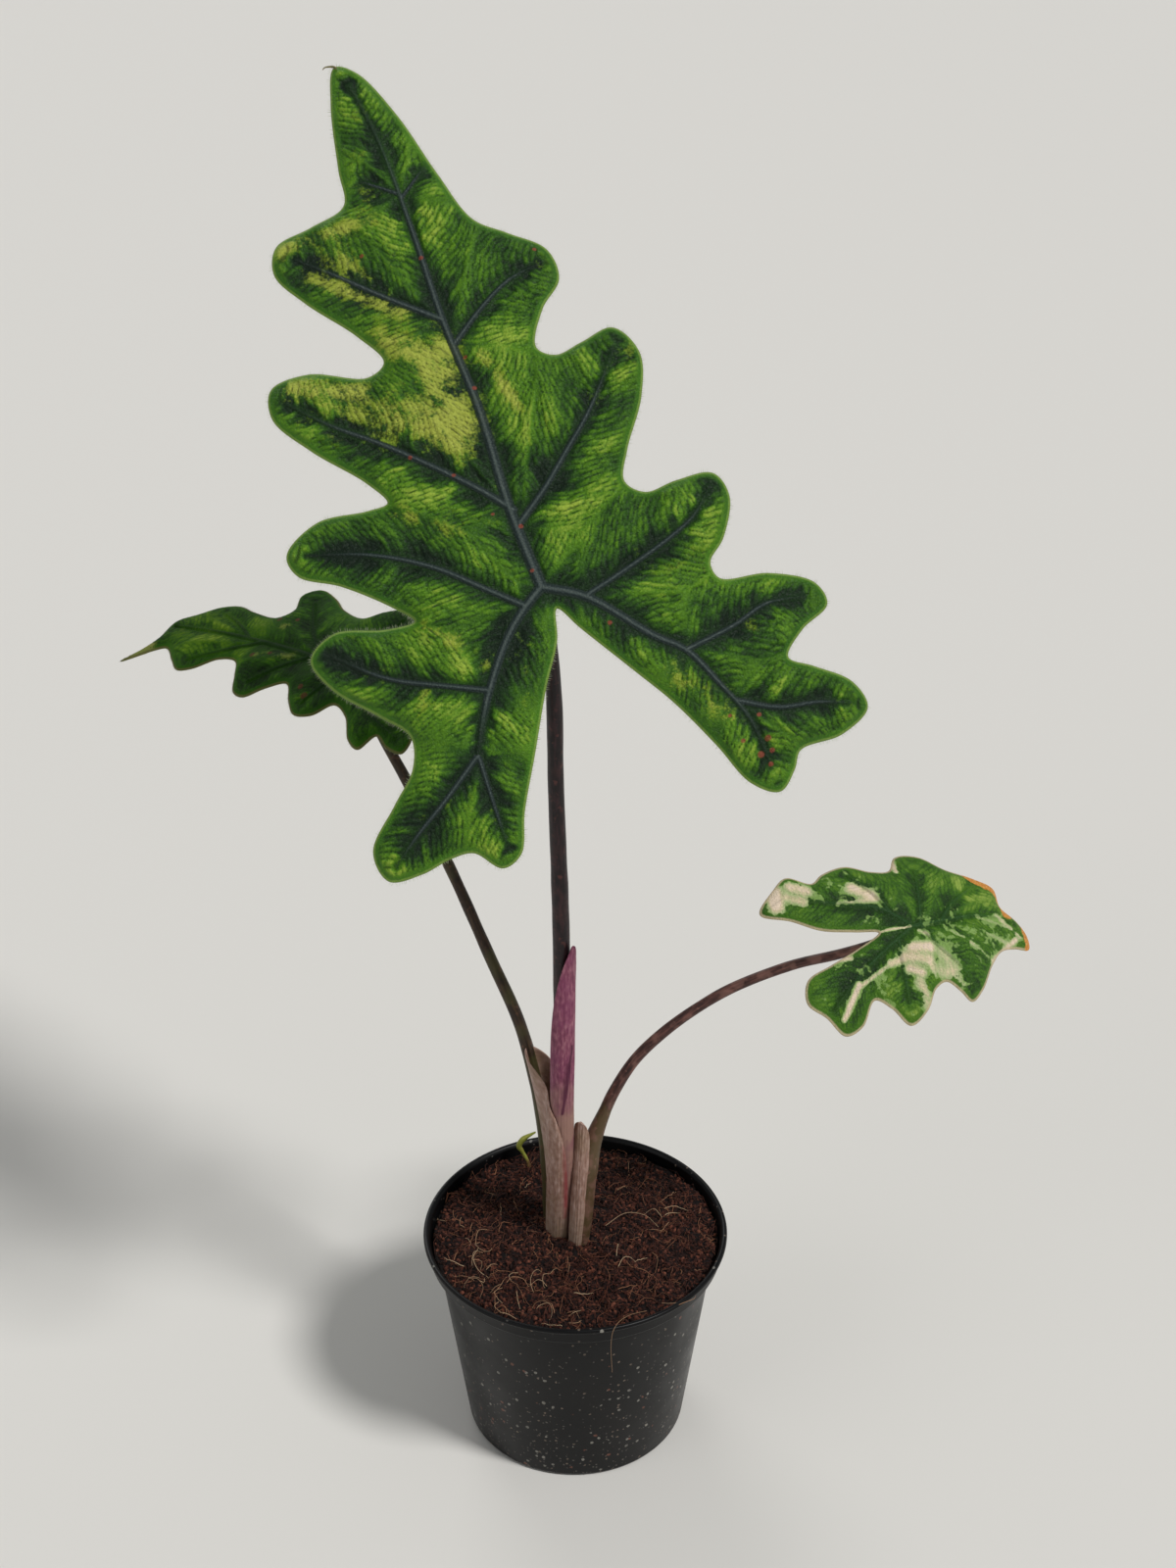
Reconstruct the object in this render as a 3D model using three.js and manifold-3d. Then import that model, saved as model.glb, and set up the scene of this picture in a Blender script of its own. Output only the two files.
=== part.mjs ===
// A jacklyn alocasia in a 12 cm nursery pot: three lobed, quilted leaves on long stalks.
// Millimetres, +Z up. The origin is the centre of the pot's underside.
import * as THREE from 'three';
import { mergeVertices } from 'three/addons/utils/BufferGeometryUtils.js';
import Module from 'manifold-3d';

// Driving dimensions
const GAP = 0.35; // clearance between two pieces that touch

const POT_HEIGHT = 90;
const POT_RIM_RADIUS = 60;
const POT_BASE_RADIUS = 44;
const POT_WALL = 1.3;
const POT_SIDES = 44;
const COLLAR_HEIGHT = 8;
const COLLAR_RADIUS = 58;
const COLLAR_STEP = 3.4; // how far the wall stands in from the collar
const FOOT_WIDTH = 7;
const BASE_LIFT = 2; // the base panel stands this far off the ground
const BASE_THICKNESS = 1.4;
const CENTRE_PAD_RADIUS = 9;
const DRAIN_HOLES = 8;
const DRAIN_HOLE_RADIUS = 3.2;
const DRAIN_CIRCLE_RADIUS = 25;
const FOOT_NOTCHES = 4;

const MIX_LEVEL = 85; // height of the potting mix at the wall
const MIX_DOME = 1.2; // rise towards the stem
const MIX_LUMP = 0.9; // height of the lumps on top

const COLUMN_X = -4.4; // where the stalks enter the mix
const COLUMN_Y = 4;
const COLUMN_HOLE_RADIUS = 13.8;
const ROOTSTOCK_TOP = 75;
const ROOTSTOCK_DEPTH = 30;
const ROOTSTOCK_RADIUS = 14.5;
const ROOTS = 6;
const ROOT_RADIUS = 1.6;

const BLADE_THICKNESS = 0.9;
const RIB_RISE = 0.9; // ribs stand this far out of the valley between two quilts
const RIB_UNDERSIDE = 1.3; // and this far out of the underside
const QUILT_HEIGHT = 3.2; // bulge of the blade between its ribs
const QUILT_REACH = 9; // distance from a rib over which the bulge rises
const MARGIN_REACH = 5; // distance from the margin over which the bulge falls
const MARGIN_ROLL = 0.8; // the margin is rolled down this far
const WAVE_HEIGHT = 2.2; // lobes ride up and down along the blade
const WAVE_LENGTH = 62;

const OUTLINE_STEP = 5; // spacing of points along a margin
const RIB_STEP = 8; // spacing of points along a rib
const QUILT_STEP = 9.5; // spacing of points between the ribs
const STALK_SIDES = 12;
const STALK_STEP = 9;

// Leaf blades. Each is laid out flat: +Y runs from the stalk to the tip, +X is its right side.
// Every row of an outline is one lobe, from the notch above it round its end, clockwise
// seen from below the tip: down the left side, into the sinus, and up the right side.
// A rib is its route and its half-width at the start and at the end.
const LARGE_LEAF = {
  name: 'large_leaf',
  position: [-10, -25, 374],
  turn: { tilt: 55.2, roll: 0, spin: 21.8 },
  bend: { tip: 16, tipLength: 190, heel: 10, heelLength: 90, left: 5, right: 5, halfWidth: 80 },
  outline: [
    [[2, 197], [-4, 184], [-10, 160], [-13, 147]],
    [[-26, 144], [-39, 142], [-43, 133], [-37, 120], [-25, 102], [-20, 90]],
    [[-27, 87], [-45, 96], [-58, 96], [-61, 86], [-53, 71], [-40, 54], [-36, 45]],
    [[-43, 45], [-60, 48], [-73, 42], [-72, 34], [-60, 25], [-47, 12], [-42, 5]],
    [[-52, 6], [-68, 11], [-78, 6], [-75, -5], [-64, -19], [-57, -29]],
    [[-60, -39], [-70, -48], [-82, -59], [-81, -69], [-70, -71], [-60, -70], [-52, -71]],
    [[-45, -79], [-38, -77], [-32, -65], [-22, -49], [-11, -31], [-2, -18], [2, -8]],
    [[7, -17], [18, -36], [26, -50], [34, -68], [40, -83], [48, -89], [55, -84], [59, -79]],
    [[74, -79], [85, -74], [83, -65], [73, -56], [66, -50]],
    [[74, -43], [85, -38], [84, -30], [71, -22], [55, -18], [54, -12]],
    [[61, -6], [68, 6], [66, 15], [54, 17], [43, 17], [38, 23]],
    [[43, 33], [54, 48], [59, 62], [54, 73], [43, 72], [33, 71], [28, 76]],
    [[35, 88], [44, 96], [44, 107], [34, 117], [25, 126]],
    [[20, 146], [15, 172], [8, 192]],
  ],
  ribs: [
    { route: [[0, 0], [0, 28], [3, 64], [3, 96], [5, 130], [6, 164], [4, 188]], width: [2.8, 0.8] },
    { route: [[5, 144], [-5, 153]], width: [0.9, 0.6] },
    { route: [[6, 142], [16, 149]], width: [0.9, 0.6] },
    { route: [[3, 96], [-13, 112], [-24, 124], [-35, 135]], width: [1.7, 0.8] },
    { route: [[1, 27], [-8, 39], [-30, 63], [-45, 77], [-55, 89]], width: [1.9, 0.8] },
    { route: [[-7, -4], [-17, 6], [-30, 19], [-48, 31], [-67, 39]], width: [1.7, 0.8] },
    { route: [[0, 0], [-7, -4], [-16, -11], [-28, -25], [-34, -34], [-39, -43]], width: [2.4, 1.7] },
    { route: [[-28, -25], [-43, -17], [-57, -9], [-71, 4]], width: [1.5, 0.8] },
    { route: [[-39, -43], [-55, -53], [-66, -59], [-77, -66]], width: [1.5, 0.8] },
    { route: [[-39, -43], [-40, -57], [-41, -72]], width: [1.3, 0.7] },
    { route: [[4, 87], [16, 95], [28, 101], [40, 103]], width: [1.5, 0.8] },
    { route: [[1, 22], [13, 30], [24, 39], [36, 49], [51, 65]], width: [1.8, 0.8] },
    { route: [[0, 0], [12, -8], [28, -28], [36, -36], [42, -50], [47, -64], [48, -81]], width: [2.4, 0.9] },
    { route: [[12, -8], [26, -5], [45, 0], [55, 4], [63, 11]], width: [1.5, 0.8] },
    { route: [[36, -36], [54, -34], [66, -31], [78, -33]], width: [1.5, 0.8] },
    { route: [[45, -57], [57, -64], [70, -67], [80, -71]], width: [1.4, 0.8] },
  ],
};

const LEFT_LEAF = {
  name: 'left_leaf',
  position: [-80, 45, 309],
  turn: { tilt: 17, roll: -17, spin: 55 },
  bend: { tip: 8, tipLength: 120, heel: 4, heelLength: 45, left: 5, right: 3, halfWidth: 40 },
  outline: [
    [[-18, 119], [-13, 110], [-10, 105], [-8, 99]],
    [[-13, 91], [-17, 84], [-15, 77], [-8, 68], [-7, 59]],
    [[-13, 54], [-20, 49], [-21, 43], [-15, 35], [-11, 27]],
    [[-18, 20], [-23, 13], [-21, 6], [-14, 0]],
    [[-17, -8], [-25, -15], [-27, -21], [-20, -25]],
    [[-23, -32], [-23, -39], [-15, -38], [-9, -27], [-4, -15], [0, -6]],
    [[4, -15], [9, -28], [16, -40], [25, -38], [25, -30], [23, -22]],
    [[30, -16], [37, -9], [37, 3], [33, 13], [28, 20]],
    [[31, 34], [36, 43], [38, 52], [32, 57], [24, 54], [18, 58]],
    [[18, 71], [20, 82], [18, 91], [12, 99], [6, 107], [-4, 108], [-11, 112]],
  ],
  ribs: [
    { route: [[0, 0], [3, 25], [4, 50], [4, 80], [3, 104]], width: [1.8, 0.7] },
    { route: [[3, 25], [-5, 35], [-15, 45]], width: [1.1, 0.7] },
    { route: [[1, 6], [-8, 10], [-18, 13]], width: [1.1, 0.7] },
    { route: [[4, 52], [-3, 66], [-12, 82]], width: [1.1, 0.7] },
    { route: [[2, 18], [14, 34], [30, 48]], width: [1.1, 0.7] },
    { route: [[0, 2], [14, 2], [31, 1]], width: [1.1, 0.7] },
    { route: [[4, 60], [10, 72], [14, 84]], width: [0.9, 0.7] },
    { route: [[0, 0], [-8, -9], [-15, -21], [-19, -33]], width: [1.4, 0.8] },
    { route: [[0, 0], [9, -9], [15, -21], [19, -34]], width: [1.4, 0.8] },
  ],
};

const RIGHT_LEAF = {
  name: 'right_leaf',
  position: [125, 10, 223],
  turn: { tilt: 33, roll: 12, spin: -76 },
  bend: { tip: 14, tipLength: 55, heel: 5, heelLength: 50, left: 3, right: 9, halfWidth: 40 },
  outline: [
    [[6, 51], [0, 48], [-6, 42]],
    [[-14, 42], [-18, 34], [-22, 22], [-28, 12], [-29, 3], [-24, -1]],
    [[-25, -8], [-29, -17], [-27, -27], [-24, -32]],
    [[-28, -41], [-24, -47], [-16, -54], [-11, -44], [-5, -34], [-2, -22], [0, -13]],
    [[5, -23], [9, -34], [13, -44], [21, -46], [27, -40], [34, -34], [32, -27], [24, -21]],
    [[28, -15], [35, -9], [31, -2], [24, 3], [22, 8]],
    [[26, 13], [30, 17], [26, 23], [17, 30], [12, 36]],
    [[11, 43], [11, 50]],
  ],
  ribs: [
    { route: [[0, 0], [-1, 14], [-2, 30], [1, 45]], width: [1.7, 0.7] },
    { route: [[0, 0], [-9, -10], [-14, -26], [-20, -42]], width: [1.4, 0.8] },
    { route: [[0, 0], [9, -16], [18, -29], [25, -37]], width: [1.4, 0.8] },
    { route: [[0, 3], [-10, 6], [-22, 8]], width: [1.1, 0.7] },
    { route: [[-1, 12], [-8, 20], [-15, 33]], width: [1.1, 0.7] },
    { route: [[-5, -6], [-14, -10], [-25, -18]], width: [1.1, 0.7] },
    { route: [[0, 3], [9, 8], [17, 15], [25, 19]], width: [1.1, 0.7] },
    { route: [[4, -7], [14, -8], [29, -9]], width: [1.1, 0.7] },
  ],
};

// Stalks: the route of each from the rootstock to its blade, and its radius along that route
// as pairs of a height and a radius there.
const LARGE_STALK = {
  name: 'large_leaf_stalk',
  route: [[-6.4, 3.5, 76], [-5.2, -1, 117], [-4.8, -5.5, 160], [-4.6, -12, 231], [-6, -18, 298],
    [-6.5, -22, 337], [-10, -25, 376]],
  radii: [[76, 3.4], [117, 3.4], [160, 3.3], [231, 3.1], [300, 2.8], [376, 2.6]],
};
const LEFT_STALK = {
  name: 'left_leaf_stalk',
  route: [[-9.3, 12, 76], [-10, 10.5, 112], [-13.8, 10, 145], [-21, 13.5, 177], [-32, 20, 203],
    [-46, 28, 236], [-62, 36, 270], [-72, 40, 290], [-80, 45, 311]],
  radii: [[76, 3.6], [112, 3.7], [150, 2.6], [200, 2.2], [311, 1.9]],
};
const RIGHT_STALK = {
  name: 'right_leaf_stalk',
  route: [[1, -3.6, 76], [3.2, -3.4, 100], [4.8, -1.4, 121], [7.5, 3.5, 131.4], [11, 6.5, 139.9],
    [15, 9, 148.6], [23, 12.5, 161.1], [34, 14.5, 172.6], [47, 16, 183], [60, 16, 192],
    [82, 14, 203.5], [100, 12, 210], [117, 10.5, 218], [125, 10, 226]],
  radii: [[76, 3], [100, 3.9], [121, 4.2], [133, 3.3], [142, 2.3], [200, 1.9], [226, 1.7]],
};
// Sheaths, each wrapped round the foot of a stalk: their heights, the way they face at the foot
// and at the ear on top, the half-angle they span at the foot, their thickness, the share of
// the height from which the ear stands off, and how far it does.
const SHEATH_ROOT = 0.9; // a sheath that grew with its stalk starts this deep in it
const RIGHT_SHEATH = {
  foot: 77, top: 140, facing: [-55, -58], spread: 68, thickness: 1.5, flareFrom: 0.8, stand: 1.6,
};
const LEFT_SHEATH = {
  foot: 77, top: 167, facing: [0, 60], spread: 95, thickness: 1.5, flareFrom: 0.72, stand: 3.6,
};
// The pink cataphyll, a scale leaf that once wrapped the whole bud.
const CATAPHYLL = {
  foot: 78, top: 230, facing: [-4, 58], spread: 118, thickness: 0.9, flareFrom: 0.5, stand: 1,
};

// The shoot of a young offset near the back of the rim: a thin foot and a thicker curved tip.
const OFFSET_SHOOT = {
  route: [[-19.5, 42, 78], [-19.5, 43, 87], [-22, 44, 92.5], [-23.4, 44, 95.5], [-21.5, 44, 99],
    [-16.5, 44, 102.5]],
  radii: [[78, 0.8], [92, 0.7], [95.5, 1.2], [99, 1.2], [102.5, 0.5]],
};

// Solids

const wasm = await Module();
wasm.setup();

// A closed geometry as a solid that can be joined and cut.
function toSolid(geometry) {
  const bare = geometry.index ? geometry.clone() : geometry;
  bare.deleteAttribute('normal');
  bare.deleteAttribute('uv');
  const merged = mergeVertices(bare, 1e-4);
  const corners = merged.index.array;
  const faces = [];
  for (let i = 0; i < corners.length; i += 3) {
    const [a, b, c] = [corners[i], corners[i + 1], corners[i + 2]];
    if (a !== b && b !== c && c !== a) faces.push(a, b, c);
  }
  const vertProperties = new Float32Array(merged.attributes.position.array);
  return new wasm.Manifold(new wasm.Mesh({ numProp: 3, vertProperties, triVerts: new Uint32Array(faces) }));
}

function toGeometry(solid) {
  const mesh = solid.getMesh();
  const geometry = new THREE.BufferGeometry();
  geometry.setAttribute('position', new THREE.BufferAttribute(new Float32Array(mesh.vertProperties), 3));
  geometry.setIndex(new THREE.BufferAttribute(new Uint32Array(mesh.triVerts), 1));
  geometry.computeVertexNormals();
  return geometry;
}

// The largest body of a solid, without scraps or sealed hollows.
function mainBody(solid) {
  return solid.decompose().reduce((best, body) => (body.volume() > best.volume() ? body : best));
}

function meshOf(name, geometry, look) {
  const mesh = new THREE.Mesh(geometry, new THREE.MeshStandardMaterial(look));
  mesh.name = name;
  return mesh;
}

// Repeatable random numbers from 0 to 1.
function seededRandom(seed) {
  let state = seed;
  return () => {
    state = (state * 1664525 + 1013904223) % 4294967296;
    return state / 4294967296;
  };
}

// The value at x on a line of [x, value] pairs.
function valueAt(pairs, x) {
  if (x <= pairs[0][0]) return pairs[0][1];
  for (let i = 1; i < pairs.length; i += 1) {
    const [x0, y0] = pairs[i - 1];
    const [x1, y1] = pairs[i];
    if (x <= x1) return y0 + ((y1 - y0) * (x - x0)) / (x1 - x0);
  }
  return pairs[pairs.length - 1][1];
}

// A smooth line through flat or solid points.
function smoothLine(points, closed = false) {
  const corners = points.map(([x, y, z = 0]) => new THREE.Vector3(x, y, z));
  return new THREE.CatmullRomCurve3(corners, closed, 'centripetal');
}

// Stalks

// At u along a route: the point, the way on, and the two ways across, front being -Y.
function frameAt(curve, u) {
  const centre = curve.getPointAt(u);
  const along = curve.getTangentAt(u);
  const front = new THREE.Vector3(0, -1, 0);
  front.addScaledVector(along, -front.dot(along)).normalize();
  const side = new THREE.Vector3().crossVectors(along, front);
  return { centre, front, side };
}

function pointAround(frame, angle, radius) {
  const point = frame.centre.clone();
  point.addScaledVector(frame.front, radius * Math.cos(angle));
  return point.addScaledVector(frame.side, radius * Math.sin(angle));
}

// A closed grid of rings: each ring's points in order, with a flat end at both ends.
function ringsGeometry(rings) {
  const positions = rings.flat().flatMap((point) => [point.x, point.y, point.z]);
  const sides = rings[0].length;
  const faces = [];
  for (let i = 0; i + 1 < rings.length; i += 1) {
    for (let j = 0; j < sides; j += 1) {
      const next = (j + 1) % sides;
      const [a, b, c, d] = [i * sides + j, i * sides + next, (i + 1) * sides + j, (i + 1) * sides + next];
      faces.push(a, b, d, a, d, c);
    }
  }
  const last = (rings.length - 1) * sides;
  for (let j = 1; j + 1 < sides; j += 1) {
    faces.push(0, j + 1, j);
    faces.push(last, last + j, last + j + 1);
  }
  const geometry = new THREE.BufferGeometry();
  geometry.setAttribute('position', new THREE.Float32BufferAttribute(positions, 3));
  geometry.setIndex(faces);
  return geometry;
}

// A round stalk whose radius follows its height, `extra` thicker all round.
function stalkSolid({ route, radii }, extra = 0, sides = STALK_SIDES, step = STALK_STEP) {
  const curve = smoothLine(route);
  const steps = Math.ceil(curve.getLength() / step);
  const rings = [];
  for (let i = 0; i <= steps; i += 1) {
    const frame = frameAt(curve, i / steps);
    const radius = valueAt(radii, frame.centre.z) + extra;
    const turns = Array.from({ length: sides }, (_, j) => (j / sides) * 2 * Math.PI);
    rings.push(turns.map((turn) => pointAround(frame, turn, radius)));
  }
  return toSolid(ringsGeometry(rings));
}

// A sheath wrapped round a stalk from its foot to its top, where it narrows to a rounded ear.
function sheathSolid({ route, radii }, sheath, inset) {
  const curve = smoothLine(route);
  const samples = 60;
  const shares = Array.from({ length: samples + 1 }, (_, i) => i / samples);
  const heights = shares.map((share) => [curve.getPointAt(share).z, share]);
  const rows = 16;
  const columns = 12;
  const spread = THREE.MathUtils.degToRad(sheath.spread);
  const rings = [];
  for (let i = 0; i <= rows; i += 1) {
    const rise = i / rows;
    const height = sheath.foot + (sheath.top - sheath.foot) * rise;
    const frame = frameAt(curve, valueAt(heights, height));
    const [footFacing, earFacing] = sheath.facing;
    const facing = THREE.MathUtils.degToRad(footFacing + (earFacing - footFacing) * rise ** 2);
    const reach = spread * Math.sqrt(Math.max(1 - rise ** 3, 0.004));
    const flare = Math.max((rise - sheath.flareFrom) / (1 - sheath.flareFrom), 0);
    const inner = valueAt(radii, frame.centre.z) + inset + sheath.stand * flare;
    const thickness = sheath.thickness * (1 - 0.35 * rise);
    const ring = [];
    for (let j = 0; j <= columns; j += 1) {
      ring.push(pointAround(frame, facing + reach * ((2 * j) / columns - 1), inner + thickness));
    }
    for (let j = columns; j >= 0; j -= 1) {
      ring.push(pointAround(frame, facing + reach * ((2 * j) / columns - 1), inner));
    }
    rings.push(ring);
  }
  return toSolid(ringsGeometry(rings));
}

// Leaf blades

// Distance from a point to a line of points, and how far along that line the nearest spot is.
function distanceTo(line, x, y) {
  let best = { distance: Infinity, along: 0 };
  for (let i = 0; i + 1 < line.length; i += 1) {
    const [ax, ay] = line[i];
    const [bx, by] = line[i + 1];
    const length = (bx - ax) ** 2 + (by - ay) ** 2;
    const t = Math.min(Math.max(((x - ax) * (bx - ax) + (y - ay) * (by - ay)) / length, 0), 1);
    const distance = Math.hypot(x - ax - t * (bx - ax), y - ay - t * (by - ay));
    if (distance < best.distance) best = { distance, along: (i + t) / (line.length - 1) };
  }
  return best;
}

function isInside(outline, x, y) {
  let inside = false;
  for (let i = 0, j = outline.length - 1; i < outline.length; j = i, i += 1) {
    const [ax, ay] = outline[i];
    const [bx, by] = outline[j];
    if (ay > y !== by > y && x < ((bx - ax) * (y - ay)) / (by - ay) + ax) inside = !inside;
  }
  return inside;
}

// The margin and the ribs of a leaf as smooth lines of evenly spaced points.
function layOut(leaf) {
  const margin = smoothLine(leaf.outline.flat(), true);
  const marginPoints = margin.getSpacedPoints(Math.round(margin.getLength() / OUTLINE_STEP));
  marginPoints.pop();
  const ribs = leaf.ribs.map(({ route, width }) => {
    const line = smoothLine(route);
    const points = line.getSpacedPoints(Math.max(2, Math.round(line.getLength() / RIB_STEP)));
    return { line: points.map(({ x, y }) => [x, y]), width };
  });
  return { outline: marginPoints.map(({ x, y }) => [x, y]), ribs };
}

// Height of the blade over its flat sheet: it bends down at its ends and sides, rides in waves
// towards its sides and swells between the ribs, and the margin is rolled down.
function bladeHeight(leaf, plan, x, y) {
  const { bend } = leaf;
  const fall = y > 0 ? bend.tip * (y / bend.tipLength) ** 2 : bend.heel * (y / bend.heelLength) ** 2;
  const across = (x > 0 ? bend.right : bend.left) * (x / bend.halfWidth) ** 2;
  const side = Math.min((x / bend.halfWidth) ** 2, 1);
  const wave = WAVE_HEIGHT * side * Math.sin((2 * Math.PI * y) / WAVE_LENGTH + (x > 0 ? 1 : 0));
  const fromRib = Math.min(...plan.ribs.map(({ line, width }) => {
    const { distance, along } = distanceTo(line, x, y);
    return Math.max(distance - (width[0] + (width[1] - width[0]) * along), 0);
  }));
  const fromMargin = distanceTo([...plan.outline, plan.outline[0]], x, y).distance;
  const swell = (1 - Math.exp(-fromRib / QUILT_REACH)) * (1 - Math.exp(-fromMargin / MARGIN_REACH));
  const roll = MARGIN_ROLL * Math.exp(-fromMargin / 2);
  return -fall - across + wave + QUILT_HEIGHT * swell - roll;
}

// Points of the flat blade: the margin, three rows along every rib, and the quilts between.
function bladePoints(plan, random) {
  const points = plan.outline.map(([x, y]) => ({ x, y, ridge: 0 }));
  const isFree = (x, y, room) => points.every((point) => Math.hypot(point.x - x, point.y - y) > room);
  for (const { line, width } of plan.ribs) {
    line.forEach(([x, y], i) => {
      const [ax, ay] = line[Math.max(i - 1, 0)];
      const [bx, by] = line[Math.min(i + 1, line.length - 1)];
      const length = Math.hypot(bx - ax, by - ay);
      const half = width[0] + ((width[1] - width[0]) * i) / (line.length - 1);
      for (const offset of [0, -half, half]) {
        const px = x - ((by - ay) / length) * offset;
        const py = y + ((bx - ax) / length) * offset;
        const room = offset === 0 ? half * 0.9 : half * 0.8;
        if (isFree(px, py, room) && isInside(plan.outline, px, py)) {
          points.push({ x: px, y: py, ridge: offset === 0 ? 1 : 0 });
        }
      }
    });
  }
  const xs = plan.outline.map(([x]) => x);
  const ys = plan.outline.map(([, y]) => y);
  for (let y = Math.min(...ys); y < Math.max(...ys); y += QUILT_STEP * 0.87) {
    for (let x = Math.min(...xs); x < Math.max(...xs); x += QUILT_STEP) {
      const px = x + (random() - 0.5) * 3;
      const py = y + (random() - 0.5) * 3;
      const fromMargin = distanceTo([...plan.outline, plan.outline[0]], px, py).distance;
      const inside = isInside(plan.outline, px, py) && fromMargin > 3.5;
      if (inside && isFree(px, py, 5)) points.push({ x: px, y: py, ridge: 0 });
    }
  }
  return points;
}

// Delaunay triangles of flat points, counterclockwise.
function delaunay(points) {
  const far = 10000;
  const all = [...points, { x: -far, y: -far }, { x: far, y: -far }, { x: 0, y: far }];
  const count = points.length;
  const withCircle = (a, b, c) => {
    const [p, q, r] = [all[a], all[b], all[c]];
    const d = 2 * (p.x * (q.y - r.y) + q.x * (r.y - p.y) + r.x * (p.y - q.y));
    const [pp, qq, rr] = [p.x ** 2 + p.y ** 2, q.x ** 2 + q.y ** 2, r.x ** 2 + r.y ** 2];
    const x = (pp * (q.y - r.y) + qq * (r.y - p.y) + rr * (p.y - q.y)) / d;
    const y = (pp * (r.x - q.x) + qq * (p.x - r.x) + rr * (q.x - p.x)) / d;
    return { corners: [a, b, c], x, y, reach: (p.x - x) ** 2 + (p.y - y) ** 2 };
  };
  let triangles = [withCircle(count, count + 1, count + 2)];
  for (let i = 0; i < count; i += 1) {
    const { x, y } = all[i];
    const hit = triangles.filter((t) => (t.x - x) ** 2 + (t.y - y) ** 2 < t.reach);
    const edges = new Map();
    for (const { corners: [a, b, c] } of hit) {
      for (const [from, to] of [[a, b], [b, c], [c, a]]) {
        if (!edges.delete(`${to},${from}`)) edges.set(`${from},${to}`, [from, to]);
      }
    }
    const gone = new Set(hit);
    triangles = triangles.filter((t) => !gone.has(t));
    for (const [from, to] of edges.values()) triangles.push(withCircle(from, to, i));
  }
  return triangles.map((t) => t.corners).filter((corners) => corners.every((corner) => corner < count));
}

// Triangles of the blade's flat sheet. A margin edge that they miss is halved until they keep it.
function bladeSheet(leaf) {
  const plan = layOut(leaf);
  for (;;) {
    const points = bladePoints(plan, seededRandom(7));
    const faces = delaunay(points).filter((corners) => {
      const x = corners.reduce((sum, corner) => sum + points[corner].x, 0) / 3;
      const y = corners.reduce((sum, corner) => sum + points[corner].y, 0) / 3;
      return isInside(plan.outline, x, y);
    });
    const edges = new Set(faces.flatMap(([a, b, c]) => [`${a},${b}`, `${b},${c}`, `${c},${a}`]));
    const count = plan.outline.length;
    const missed = plan.outline.map((_, i) => i).filter((i) => {
      const next = (i + 1) % count;
      return !edges.has(`${i},${next}`) && !edges.has(`${next},${i}`);
    });
    if (missed.length === 0) return { plan, points, faces, edges };
    for (const i of missed.reverse()) {
      const [ax, ay] = plan.outline[i];
      const [bx, by] = plan.outline[(i + 1) % count];
      plan.outline.splice(i + 1, 0, [(ax + bx) / 2, (ay + by) / 2]);
    }
  }
}

// The blade as a closed sheet, alike on both faces, `above` and `below` thicker than it is.
function bladeGeometry(leaf, sheet, above = 0, below = 0) {
  const { plan, points, faces, edges } = sheet;
  const count = points.length;
  const positions = [];
  const under = [];
  for (const { x, y, ridge } of points) {
    const height = bladeHeight(leaf, plan, x, y);
    positions.push(x, y, height + RIB_RISE * ridge + above);
    under.push(x, y, height - BLADE_THICKNESS - RIB_UNDERSIDE * ridge - below);
  }
  const corners = [];
  for (const [a, b, c] of faces) {
    corners.push(a, b, c);
    corners.push(count + a, count + c, count + b);
    for (const [from, to] of [[a, b], [b, c], [c, a]]) {
      if (!edges.has(`${to},${from}`)) corners.push(from, count + from, count + to, from, count + to, to);
    }
  }
  const geometry = new THREE.BufferGeometry();
  geometry.setAttribute('position', new THREE.Float32BufferAttribute([...positions, ...under], 3));
  geometry.setIndex(corners);
  geometry.computeVertexNormals();
  return geometry;
}

function turnOf({ tilt, roll, spin }) {
  const { degToRad } = THREE.MathUtils;
  return new THREE.Euler(degToRad(tilt), degToRad(roll), degToRad(spin), 'XYZ');
}

// A blade and the stalk that carries it, whose top is cut to the blade's underside.
function leafPieces(leaf, stalk, bladeLook, stalkLook, fused = []) {
  const sheet = bladeSheet(leaf);
  const blade = meshOf(`${leaf.name}_blade`, bladeGeometry(leaf, sheet), bladeLook);
  blade.position.set(...leaf.position);
  blade.setRotationFromEuler(turnOf(leaf.turn));
  blade.updateMatrixWorld(true);
  const cutter = bladeGeometry(leaf, sheet, 8, GAP).applyMatrix4(blade.matrixWorld);
  const whole = fused.reduce((solid, other) => solid.add(other), stalkSolid(stalk));
  const cut = mainBody(whole.subtract(toSolid(cutter)));
  return [blade, meshOf(stalk.name, toGeometry(cut), stalkLook)];
}

// Pot

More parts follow.
